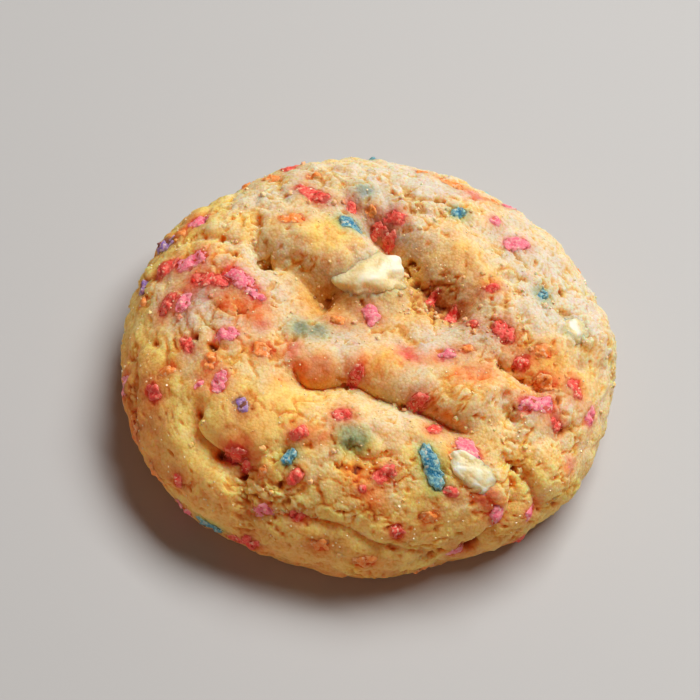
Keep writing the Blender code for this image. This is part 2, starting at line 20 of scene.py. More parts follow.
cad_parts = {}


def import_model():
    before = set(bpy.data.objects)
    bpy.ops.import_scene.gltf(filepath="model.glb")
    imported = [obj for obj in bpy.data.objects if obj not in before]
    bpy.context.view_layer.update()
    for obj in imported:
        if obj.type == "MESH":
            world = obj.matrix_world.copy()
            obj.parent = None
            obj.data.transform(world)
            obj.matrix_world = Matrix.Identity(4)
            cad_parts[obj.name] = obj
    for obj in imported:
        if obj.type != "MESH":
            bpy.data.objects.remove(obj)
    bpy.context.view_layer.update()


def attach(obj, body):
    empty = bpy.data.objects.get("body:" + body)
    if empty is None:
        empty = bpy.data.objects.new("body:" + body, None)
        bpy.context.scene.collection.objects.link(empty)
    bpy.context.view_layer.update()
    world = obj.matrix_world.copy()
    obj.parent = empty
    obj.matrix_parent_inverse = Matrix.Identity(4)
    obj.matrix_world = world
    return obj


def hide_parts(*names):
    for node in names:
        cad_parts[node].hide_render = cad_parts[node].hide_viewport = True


log = logging.getLogger("sprinkle_cookie")

MM = 0.001
PHOTO_PIXELS = 700

# What noise.noise_vector starts from: left at 0, it would follow the clock
NOISE_SEED = 4

# How far a noise is moved along X, Y and Z for each 1 of its seed
NOISE_WAY = (1.0, 1.7, -0.6)

# Sets the middles of neighbouring lumps in cells of their own
CELL_SPREAD = 9.1

# The relief painted on skin that neither stands up nor sinks
SKIN_LEVEL = 0.42

# Keeps a division from running into 0
TINY = 1e-9

Place = tuple[float, float]


# ---------------------------------------------------------------- helpers


class Pattern(float, Enum):
    """Which noise each pattern reads: seeds far enough apart that no two look alike."""

    LUMPS = 1.0
    WAVES = 2.0
    BEND_ACROSS = 3.1
    BEND_ALONG = 9.7
    COARSENESS = 14.0
    WIDE_SWIRL = 21.0
    FINE_SWIRL = 22.0
    CRACKING = 24.0
    BILLOWS = 25.0
    FLAKES = 27.0
    NUBS = 28.0
    PLATES = 31.0
    PORES = 34.0
    GRAIN = 35.0
    BROWNING = 41.0
    BROWN_SPECKS = 42.0
    DYE_TONGUES = 51.0
    DYE_SPECKS = 52.0
    LAP_TONGUES = 61.0
    LAP_NICKS = 62.0


def linear(code: str) -> tuple[float, float, float, float]:
    """Turns an sRGB hex colour into a linear one.

    Args:
        code: the colour as "#RRGGBB".

    Returns:
        Linear red, green, blue and an alpha of 1.
    """
    shares = [int(code[i : i + 2], 16) / 255.0 for i in (1, 3, 5)]
    values = [share / 12.92 if share <= 0.04045 else ((share + 0.055) / 1.055) ** 2.4 for share in shares]
    return (*values, 1.0)


def ease(share: np.ndarray) -> np.ndarray:
    """A smooth step from 0 to 1."""
    share = np.clip(share, 0.0, 1.0)
    return share * share * (3.0 - 2.0 * share)


@dataclass(frozen=True)
class Climb:
    """Something that comes on smoothly as a value grows.

    Attributes:
        start: the value at which it begins.
        width: how much further it is whole.
        amount: how much there is of it then.
    """

    start: float
    width: float
    amount: float = 1.0

    def share(self, values: np.ndarray) -> np.ndarray:
        """The share of it that is there at each value, from 0 to 1."""
        return ease((values - self.start) / self.width)


def in_waves(points: np.ndarray, size: float, seed: float) -> list[Vector]:
    """The places where a noise is read.

    Args:
        points: the points, in millimetres.
        size: the size of the noise's waves or lumps, in millimetres.
        seed: which noise it is.

    Returns:
        The points measured in waves, and moved to this noise's own stretch.
    """
    offset = Vector([share * seed for share in NOISE_WAY])
    return [Vector(point) / size + offset for point in points]


def noise_at(points: np.ndarray, size: float, seed: float) -> np.ndarray:
    """Soft noise at each point, from -1 to 1, read as in_waves says."""
    return np.array([noise.noise(place) for place in in_waves(points, size, seed)])


@dataclass(frozen=True)
class Cells:
    """Lumps pressed together, read at every point, in millimetres.

    Attributes:
        clear: how much nearer the lump's middle is than the next one's, in lump sizes.
        seam: the distance to the lump's nearest seam.
        middle: the way to the point from the lump's middle.
        own: three values of the lump's own, from -1 to 1.
    """

    clear: np.ndarray
    seam: np.ndarray
    middle: np.ndarray
    own: np.ndarray


def cells_at(points: np.ndarray, size: float, seed: float) -> Cells:
    """What lump each point is in, and where in it, read as in_waves says.

    Args:
        points: the points, in millimetres.
        size: the lumps' size.
        seed: which pattern it is.

    Returns:
        Where in its lump each point is.
    """
    rows = []
    for place in in_waves(points, size, seed):
        near, middles = noise.voronoi(place)
        seam = (near[1] ** 2 - near[0] ** 2) / (2.0 * (middles[1] - middles[0]).length + TINY)
        own = noise.cell_vector(middles[0] * CELL_SPREAD)
        rows.append((near[1] - near[0], seam, *(place - middles[0]), *own))
    table = np.array(rows)
    return Cells(table[:, 0], table[:, 1] * size, table[:, 2:5] * size, table[:, 5:8])


def billow_at(points: np.ndarray, size: float, seed: float, layers: int = 3) -> np.ndarray:
    """Rounded lumps of many sizes with sharp valleys between, from about 0 in a valley to 1 on a lump."""
    return np.array([noise.turbulence(place, layers, True) for place in in_waves(points, size, seed)])


def swirl_at(points: np.ndarray, size: float, seed: float) -> np.ndarray:
    """Soft noise with a direction at each point, to bend other patterns by."""
    return np.array([noise.noise_vector(place) for place in in_waves(points, size, seed)])


def fill(node: bpy.types.Node, values: dict | None = None, links: dict | None = None) -> None:
    """Gives a node's sockets their values and what feeds them, each by the socket's name or number.

    Args:
        node: the node.
        values: its sockets' values.
        links: the sockets that feed it.
    """
    for socket, value in (values or {}).items():
        node.inputs[socket].default_value = value
    for socket, source in (links or {}).items():
        node.id_data.links.new(source, node.inputs[socket])


def add_node(
    tree: bpy.types.NodeTree,
    kind: str,
    values: dict | None = None,
    links: dict | None = None,
    stops: tuple[tuple[float, str], ...] = (),
    **settings: str | bool,
) -> bpy.types.NodeOutputs:
    """Adds a shader node.

    Args:
        tree: the material's node tree.
        kind: the node's type after "ShaderNode", such as "Mix".
        values: socket values, by socket name or number.
        links: the sockets that feed its own, by socket name or number.
        stops: where a colour ramp reaches each colour, and the colour.
        settings: the node's own settings.

    Returns:
        The new node's outputs.
    """
    node = tree.nodes.new(f"ShaderNode{kind}")
    for name, value in settings.items():
        setattr(node, name, value)
    fill(node, values, links)
    if stops:
        steps = node.color_ramp.elements
        for step, (position, colour) in zip(steps, (stops[0], stops[-1])):
            step.position = position
            step.color = linear(colour)
        for position, colour in stops[1:-1]:
            steps.new(position).color = linear(colour)
    return node.outputs


def new_material(name: str) -> tuple[bpy.types.Material, bpy.types.NodeTree, bpy.types.Node]:
    """A material with its tree and its Principled shader.

    Args:
        name: the material's name.

    Returns:
        The material, its node tree and its Principled shader.
    """
    material = bpy.data.materials.new(name)
    material.use_nodes = True
    return material, material.node_tree, material.node_tree.nodes["Principled BSDF"]


def place_on_piece(tree: bpy.types.NodeTree) -> dict[str, bpy.types.NodeSocket]:
    """The link that gives a pattern its place on the piece, in millimetres."""
    place = add_node(tree, "TexCoord")["Object"]
    return {"Vector": add_node(tree, "Mapping", {"Scale": (1 / MM,) * 3}, {"Vector": place})[0]}


def start_primitive(kind: str, name: str, **settings: float) -> bpy.types.Object:
    """Adds a mesh primitive with nothing else selected.

    Args:
        kind: the operator's name after primitive_, such as "cube_add".
        name: the new object's name.
        settings: the operator's settings.

    Returns:
        The new object, which is active.
    """
    bpy.ops.object.select_all(action="DESELECT")
    getattr(bpy.ops.mesh, f"primitive_{kind}")(**settings)
    made = bpy.context.active_object
    made.name = name
    made.data.name = name
    return made


def start_model(kind: str, name: str, **settings: float) -> tuple[bpy.types.Mesh, np.ndarray]:
    """Adds a mesh primitive that small things are copied from, as start_primitive says, but no object.

    Args:
        kind: the operator's name after primitive_.
        name: the mesh's name.
        settings: the operator's settings.

    Returns:
        The mesh, and its points at the primitive's own size.
    """
    start = start_primitive(kind, name, **settings)
    mesh = start.data
    bpy.data.objects.remove(start)
    return mesh, coordinates(mesh) * MM


def coordinates(mesh: bpy.types.Mesh) -> np.ndarray:
    """The mesh's points, in millimetres.

    Args:
        mesh: the mesh.

    Returns:
        A row of x, y and z for each point.
    """
    flat = np.empty(len(mesh.vertices) * 3, np.float32)
    mesh.vertices.foreach_get("co", flat)
    return flat.reshape(-1, 3).astype(float) / MM


def set_coordinates(mesh: bpy.types.Mesh, points: np.ndarray) -> None:
    """Moves the mesh's points to these places in millimetres."""
    mesh.vertices.foreach_set("co", (points * MM).astype(np.float32).ravel())
    mesh.update()


def point_normals(mesh: bpy.types.Mesh) -> np.ndarray:
    """The mesh's outward direction at each point.

    Args:
        mesh: the mesh.

    Returns:
        A row of x, y and z for each point.
    """
    flat = np.empty(len(mesh.vertices) * 3, np.float32)
    mesh.vertex_normals.foreach_get("vector", flat)
    return flat.reshape(-1, 3).astype(float)


def paint(mesh: bpy.types.Mesh, name: str, values: np.ndarray) -> None:
    """Stores one number or one colour a point on the mesh.

    Args:
        mesh: the mesh.
        name: the attribute's name, which a material reads.
        values: one number a point, or four a point for a colour.
    """
    kind, held = ("FLOAT", "value") if values.ndim == 1 else ("FLOAT_COLOR", "color")
    mesh.attributes.new(name, kind, "POINT").data.foreach_set(held, values.astype(np.float32).ravel())


def join_copies(model: bpy.types.Mesh, forms: list[np.ndarray], name: str) -> bpy.types.Object:
    """Copies a mesh for each set of points, in millimetres, and joins the copies into one piece.

    Args:
        model: the mesh that is copied.
        forms: each copy's points.
        name: the piece's name.

    Returns:
        The piece.
    """
    made = []
    for points in forms:
        mesh = model.copy()
        set_coordinates(mesh, points)
        made.append(bpy.data.objects.new(model.name, mesh))
        bpy.context.scene.collection.objects.link(made[-1])
    bpy.ops.object.select_all(action="DESELECT")
    for one in made:
        one.select_set(True)
    bpy.context.view_layer.objects.active = made[0]
    bpy.ops.object.join()
    made[0].name = name
    made[0].data.name = name
    return made[0]


def dress(piece: bpy.types.Object, finish: bpy.types.Material, smooth: bool = True) -> bpy.types.Object:
    """Gives a piece its finish, shaded smooth or with its flat faces, and returns it.

    Args:
        piece: the piece.
        finish: its material.
        smooth: whether it is shaded smooth.

    Returns:
        The piece.
    """
    if smooth:
        piece.data.shade_smooth()
    piece.data.materials.append(finish)
    return piece


# ---------------------------------------------------------------- the cookie's form


@dataclass(frozen=True)
class SkinPath:
    """A smooth line drawn over the skin, or a single place.

    Attributes:
        points: the places it runs through.
    """

    points: tuple[Place, ...]

    def curve(self, pieces: int = 6) -> np.ndarray:
        """The line's points, with each stretch cut into this many pieces.

        Args:
            pieces: pieces in a stretch.

        Returns:
            A row of across and along for each point.
        """
        points = np.array(self.points, float)
        if len(points) < 3:
            return points
        ends = np.vstack((2 * points[0] - points[1], points, 2 * points[-1] - points[-2]))
        share = np.linspace(0.0, 1.0, pieces, endpoint=False)[:, None]
        line = []
        for before, start, stop, after in zip(ends, ends[1:], ends[2:], ends[3:]):
            bend = 2 * before - 5 * start + 4 * stop - after
            twist = 3 * start - before - 3 * stop + after
            line.append(start + 0.5 * share * (stop - before + share * (bend + share * twist)))
        return np.vstack((*line, points[-1:]))

    def measure(
        self, across: np.ndarray, along: np.ndarray
    ) -> tuple[np.ndarray, np.ndarray, np.ndarray, np.ndarray]:
        """Measures places against the line.

        Args:
            across: the places' distances to the right of the crown.
            along: the places' distances away from the crown.

        Returns:
            Each place's distance, its side (1 left, -1 right), its share along the line, and the
            direction square to the line there.
        """
        curve = self.curve()
        distance = np.full(across.shape, np.inf)
        side = np.ones_like(across)
        share = np.full_like(across, 0.5)
        square = np.zeros((len(across), 2))
        if len(curve) == 1:
            return np.hypot(across - curve[0, 0], along - curve[0, 1]), side, share, square
        steps = np.diff(curve, axis=0)
        lengths = np.hypot(steps[:, 0], steps[:, 1])
        reached = np.concatenate(([0.0], np.cumsum(lengths)))
        for start, step, length, before in zip(curve, steps, lengths, reached):
            east = across - start[0]
            north = along - start[1]
            walked = ((east * step[0] + north * step[1]) / length**2).clip(0.0, 1.0)
            apart = np.hypot(east - walked * step[0], north - walked * step[1])
            nearer = apart < distance
            left = np.where(step[0] * north - step[1] * east >= 0.0, 1.0, -1.0)
            distance = np.where(nearer, apart, distance)
            side = np.where(nearer, left, side)
            share = np.where(nearer, (before + walked * length) / reached[-1], share)
            square[nearer] = (-step[1] / length, step[0] / length)
        return distance, side, share, square


@dataclass(frozen=True)
class Swell:
    """A stretch of dough that stands up along a path.

    Attributes:
        path: the places it runs through.
        reach: how far it reaches to each side.
        rise: how far it stands up.
    """

    path: tuple[Place, ...]
    reach: float
    rise: float


@dataclass(frozen=True)
class Fold:
    """A valley along a path.

    Attributes:
        path: the places it runs through.
        left: how wide its left bank is.
        right: how wide its right bank is.
        depth: how deep it is.
        lip: how far its left bank leans over it.
    """

    path: tuple[Place, ...]
    left: float
    right: float
    depth: float
    lip: float


@dataclass(frozen=True)
class Spot:
    """A round place on the skin, with something that fades out round it.

    Attributes:
        across: its middle's place to the right of the crown.
        along: its middle's place away from the crown.
        reach: how far out it has faded to about a third.
        amount: a dip's depth in its middle, or how strong something is there.
    """

    across: float
    along: float
    reach: float
    amount: float

    def strength(self, across: np.ndarray, along: np.ndarray) -> np.ndarray:
        """The share of it that is there at each place, 1 in its middle."""
        return np.exp(-(((across - self.across) ** 2 + (along - self.along) ** 2) / self.reach**2))


@dataclass(frozen=True)
class CookieForm:
    """The baked cookie's form, as its solid has it, before crumb and pores.

    Attributes:
        half_width: half its width at the belly.
        half_depth: half its depth there.
        crown_height: the height of the top before the relief.
        belly_height: the height of its widest part.
        foot_tuck: how far the foot draws in under the belly.
        mean_radius: the radius at which the side profile is drawn.
        shoulder_power: how square its shoulder is, seen from the side.
        dome_power: how flat its top is.
        crown: the middle of the top, from the middle of the sole.
        foot_fade: how far above the foot the relief is whole.
        foot_bare: how far above it the relief starts.
        dome_steps: stretches of the side profile over the belly.
        tuck_steps: stretches of it under the belly.
        sole_steps: stretches of it over the sole.
        lump_size: the size of the dough's lumps.
        lump_height: how far they stand up.
        lump_seam: how wide the seams between them are, in lump sizes.
        wave_size: the size of its soft waves.
        wave_height: how far they stand up.
        bend_size: the size of the waves that bend folds and swells.
        bend: how far they bend them.
        fold_ends: the share of a fold at each end over which it runs out.
        valley_power: how sharp a fold's bottom is.
        outline_swells: each swell of the outline: its angle, its spread in degrees and its reach.
        swells: the dough's swells.
        folds: its folds.
        hollows: its hollows.
    """

    half_width: float = 38.2
    half_depth: float = 35.6
    crown_height: float = 22.0
    belly_height: float = 7.0
    foot_tuck: float = 3.2
    mean_radius: float = 37.0
    shoulder_power: float = 2.6
    dome_power: float = 2.1
    crown: Place = (0.07, 0.27)
    foot_fade: float = 4.0
    foot_bare: float = 0.5
    dome_steps: int = 399
    tuck_steps: int = 79
    sole_steps: int = 59
    lump_size: float = 4.6
    lump_height: float = 0.55
    lump_seam: float = 0.45
    wave_size: float = 9.0
    wave_height: float = 0.35
    bend_size: float = 7.0
    bend: float = 1.1
    fold_ends: float = 0.15
    valley_power: float = 1.5
    outline_swells: tuple[tuple[float, float, float], ...] = (
        (14.0, 12.0, 0.5),
        (75.0, 18.0, -0.4),
        (135.0, 12.0, -1.0),
        (150.0, 8.0, 0.6),
        (222.0, 24.0, 0.8),
        (300.0, 12.0, -1.2),
    )
    swells: tuple[Swell, ...] = (
        Swell(((-27, -10), (-21, -17), (-11, -21), (0, -22), (9, -23), (17, -26)), 6.5, 0.9),
        Swell(((-14, -28), (-4, -29), (8, -30), (18, -31)), 5.0, 0.7),
        Swell(((-17, -20),), 8.0, 1.2),
        Swell(((-23, -6), (-25, 3), (-25, 12), (-17, 20)), 6.0, 1.0),
        Swell(((-15, 13), (-10, 12.5), (-5, 14)), 3.4, 1.7),
        Swell(((3, 20), (7.5, 17.5), (12, 14.5), (15.5, 11), (18, 7)), 3.4, 1.5),
        Swell(((-5, 26.5), (4, 26), (11, 23)), 5.0, 1.1),
        Swell(((-8, -6.5), (0, -7.5), (8, -9), (15, -10)), 3.4, 1.3),
        Swell(((17.5, -11),), 3.0, 1.6),
        Swell(((22, -8), (27, -9), (32, -8)), 4.5, 0.9),
        Swell(((21, 3), (27, 2.5), (32, 4)), 4.0, 0.9),
        Swell(((35, 6),), 5.0, 1.3),
        Swell(((21, -25), (24, -27)), 6.0, 1.3),
        Swell(((-35, -14), (-31, -24), (-23, -33)), 6.0, 1.2),
        Swell(((34, -20),), 6.0, 0.9),
        Swell(((28, -18), (31.5, -19.5)), 3.2, 1.3),
    )
    folds: tuple[Fold, ...] = (
        Fold(((-19.5, 9), (-16, 8), (-12.5, 6.5), (-9.5, 4.6), (-6, 3.6)), 5.0, 8.5, 2.6, 0.3),
        Fold(
            ((-11.5, -7.5), (-8.2, -12), (-2, -11.3), (2.5, -12.2), (8.5, -13.8), (14, -15.5), (19, -17.5)),
            3.6, 6.2, 3.9, 1.2,
        ),
        Fold(
            ((-5, 20.5), (-2, 17.5), (1.4, 14.8), (5.0, 11.6), (7.8, 8.2), (11.4, 5.0), (15.5, 2.6)),
            4.4, 7.4, 3.9, 0.4,
        ),
        Fold(((-24.8, -18.5), (-23, -22), (-20, -25), (-16.5, -27.2), (-13.2, -27)), 2.4, 4.0, 2.6, 1.0),
        Fold(((-17, -27), (-16.5, -31), (-16, -36)), 2.0, 2.2, 1.5, 0.3),
        Fold(((-20, -24.5), (-17, -25.2), (-13.5, -25.2), (-9.8, -22)), 2.2, 2.6, 1.2, 0.4),
        Fold(((18, -3.5), (21, -4.5), (25, -5.5), (28, -7)), 2.4, 2.6, 2.6, 0.8),
        Fold(((-18, -36), (-10, -34.5), (-1, -35.5), (5, -37.3), (12, -38.3), (19, -38)), 2.8, 2.4, 1.3, 0.6),
        Fold(((24.3, -21.5), (25.8, -26), (25, -31), (22.8, -36)), 2.6, 2.2, 2.3, 0.5),
        Fold(((20.5, -8.5), (22, -12), (24.5, -13)), 2.0, 1.8, 1.6, 0.3),
        Fold(((28, 9), (30, 5), (31.5, 1), (33, -2)), 1.8, 2.0, 1.4, 0.3),
        Fold(((21.5, -18.8), (24.5, -20.3), (28, -22), (31.5, -25.5)), 1.8, 2.2, 1.7, 0.4),
        Fold(((1.5, 19.8), (5, 20.8), (8.5, 20.2)), 1.6, 1.6, 1.2, 0.2),
        Fold(((-31, 11.5), (-26, 11), (-21, 10)), 1.6, 1.6, 1.0, 0.2),
        Fold(((-20.5, 16.5), (-19.7, 12), (-19, 9)), 1.6, 1.6, 1.4, 0.1),
        Fold(((-3, -22), (2, -24.5), (7, -23.5)), 1.6, 1.8, 1.2, 0.3),
        Fold(((-36, -8), (-34.5, -14), (-35, -20)), 1.6, 1.6, 0.9, 0.2),
    )
    hollows: tuple[Spot, ...] = (
        Spot(-2.5, 3.0, 12.0, 2.6),
        Spot(5.0, 1.5, 7.0, 0.8),
        Spot(-7.4, 4.6, 3.2, 1.9),
        Spot(-4.0, 1.5, 5.0, 1.2),
        Spot(-18.4, 8.6, 1.8, 1.8),
        Spot(-23.6, -18.6, 1.2, 1.6),
        Spot(-19.5, -25.0, 2.0, 1.0),
        Spot(13.0, 5.2, 3.0, 0.8),
        Spot(19.3, 11.3, 1.3, 1.6),
        Spot(23.0, -3.2, 1.8, 1.2),
        Spot(-6.0, 20.3, 1.4, 1.4),
        Spot(24.0, -36.0, 1.6, 1.4),
    )

    def profile(self) -> tuple[np.ndarray, np.ndarray, np.ndarray, float]:
        """The half section from the crown to the sole's middle.

        Returns:
            The distance walked, the radius and the height at each point, and the distance to the foot.
        """
        dome = np.linspace(math.pi / 2, 0.0, self.dome_steps + 1)
        tuck = np.linspace(0.0, math.pi / 2, self.tuck_steps + 1)[1:]
        rise = self.crown_height - self.belly_height
        radius = self.mean_radius * np.cos(dome).clip(0.0) ** (2.0 / self.shoulder_power)
        height = self.belly_height + rise * np.sin(dome) ** (2.0 / self.dome_power)
        radius = np.concatenate((radius, self.mean_radius - self.foot_tuck * (1.0 - np.cos(tuck))))
        height = np.concatenate((height, self.belly_height * (1.0 - np.sin(tuck))))
        foot = len(radius) - 1
        radius = np.concatenate((radius, np.linspace(radius[-1], 0.0, self.sole_steps + 1)[1:]))
        height = np.concatenate((height, np.zeros(self.sole_steps)))
        walked = np.concatenate(([0.0], np.cumsum(np.hypot(np.diff(radius), np.diff(height)))))
        return walked, radius, height, float(walked[foot])

    def outline_radius(self, turn: np.ndarray) -> np.ndarray:
        """The outline's radius at each angle round the cookie.

        Args:
            turn: the angles, in radians.

        Returns:
            The radii.
        """
        east, north = np.cos(turn) / self.half_width, np.sin(turn) / self.half_depth
        radius = 1.0 / np.sqrt(east**2 + north**2)
        for degrees, spread, reach in self.outline_swells:
            apart = (np.degrees(turn) - degrees + 180.0) % 360.0 - 180.0
            radius = radius + reach * np.exp(-((apart / spread) ** 2))
        return radius

    def smooth_skin(self, across: np.ndarray, along: np.ndarray) -> np.ndarray:
        """Points of the form before its relief, at these places.

        Args:
            across: the places' distances to the right of the crown.
            along: their distances away from the crown.

        Returns:
            A row of x, y and z for each place.
        """
        walked, radii, heights, _ = self.profile()
        reach = np.hypot(across, along)
        turn = np.arctan2(along, across)
        radius = np.interp(reach, walked, radii) * self.outline_radius(turn) / self.mean_radius
        height = np.interp(reach, walked, heights)
        east = self.crown[0] + radius * np.cos(turn)
        north = self.crown[1] + radius * np.sin(turn)
        return np.stack((east, north, height), -1)

    def normals(self, across: np.ndarray, along: np.ndarray, step: float = 0.2) -> np.ndarray:
        """Outward directions of the smooth form at these places.

        Args:
            across: the places' distances to the right of the crown.
            along: their distances away from the crown.
            step: the distance over which the skin's directions are measured.

        Returns:
            A row of x, y and z for each place.
        """
        east = self.smooth_skin(across + step, along) - self.smooth_skin(across - step, along)
        north = self.smooth_skin(across, along + step) - self.smooth_skin(across, along - step)
        square = np.cross(east, north)
        return square / np.linalg.norm(square, axis=-1, keepdims=True).clip(TINY)

    def relief(self, across: np.ndarray, along: np.ndarray) -> tuple[np.ndarray, np.ndarray]:
        """How far the skin stands up or sinks at each place, and how far it leans sideways.

        Args:
            across: the places' distances to the right of the crown.
            along: their distances away from the crown.

        Returns:
            The rise, and the way and distance that it leans, for each place.
        """
        rise = np.zeros_like(across)
        lean = np.zeros((len(across), 2))
        for swell in self.swells:
            distance = SkinPath(swell.path).measure(across, along)[0]
            rise += swell.rise * np.exp(-((distance / swell.reach) ** 2))
        for hollow in self.hollows:
            rise -= hollow.amount * hollow.strength(across, along)
        for fold in self.folds:
            distance, side, share, square = SkinPath(fold.path).measure(across, along)
            bank = np.where(side > 0.0, fold.left, fold.right)
            taper = ease(np.minimum(share, 1.0 - share) / self.fold_ends)
            rise -= fold.depth * taper * (1.0 - distance / bank).clip(0.0) ** self.valley_power
            over = taper * fold.lip * np.exp(-((2.0 * distance / bank - 1.0) ** 2)) * (side > 0.0)
            lean -= square * over[:, None]
        return rise, lean

    def fade(self, across: np.ndarray, along: np.ndarray) -> np.ndarray:
        """1 over the top and sides, running out to 0 at the foot."""
        foot = self.profile()[3]
        return ease((foot - self.foot_bare - np.hypot(across, along)) / self.foot_fade)

    def baked_skin(self, across: np.ndarray, along: np.ndarray) -> np.ndarray:
        """Points on the skin with its folds, cracks and lumps, as the solid has it.

        Args:
            across: the places' distances to the right of the crown.
            along: their distances away from the crown.

        Returns:
            A row of x, y and z for each place.
        """
        smooth = self.smooth_skin(across, along)
        fade = self.fade(across, along)
        bend_across = self.bend * fade * noise_at(smooth, self.bend_size, Pattern.BEND_ACROSS)
        bend_along = self.bend * fade * noise_at(smooth, self.bend_size, Pattern.BEND_ALONG)
        rise, lean = self.relief(across + bend_across, along + bend_along)
        clear = cells_at(smooth, self.lump_size, Pattern.LUMPS).clear
        rise += self.lump_height * (np.minimum(clear / self.lump_seam, 1.0) - 0.6)
        rise += self.wave_height * noise_at(smooth, self.wave_size, Pattern.WAVES)
        lean *= fade[:, None]
        leant = self.smooth_skin(across + lean[:, 0], along + lean[:, 1])
        return leant + self.normals(across, along) * (rise * fade)[:, None]


# ---------------------------------------------------------------- sprinkles and their places


class Colour(Enum):
    """The sprinkles' sugar colours: the bare face, and the dye that runs into the dough."""

    RED = ("#EE3430", "#FA8C72")
    ORANGE = ("#FC8424", "#FEB870")
    PINK = ("#FC6C8A", "#FEB0B2")
    BLUE = ("#0678A2", "#ACDCD0")
    VIOLET = ("#8664BC", "#E0B6C4")

    @property
    def bare(self) -> str:
        """The colour of the sugar itself."""
        return self.value[0]

    @property
    def dye(self) -> str:
        """What its dye does to the colour of dough that it has run into."""
        return self.value[1]


@dataclass(frozen=True)
class Sprinkle:
    """One sprinkle in the skin.

    Attributes:
        across: its place to the right of the crown.
        along: its place away from the crown.
        heading: the way it lies, in degrees from the across direction.
        length: its length.
        colour: its sugar's colour.
        lift: how much further than usual it stands out of the dough, or lies under it where less than 0.
    """

    across: float
    along: float
    heading: float
    length: float
    colour: Colour
    lift: float = 0.0

    def girth(self) -> float:
        """Its thickness: longer ones are stouter."""
        return min(0.3 + 0.55 * self.length, 2.7)


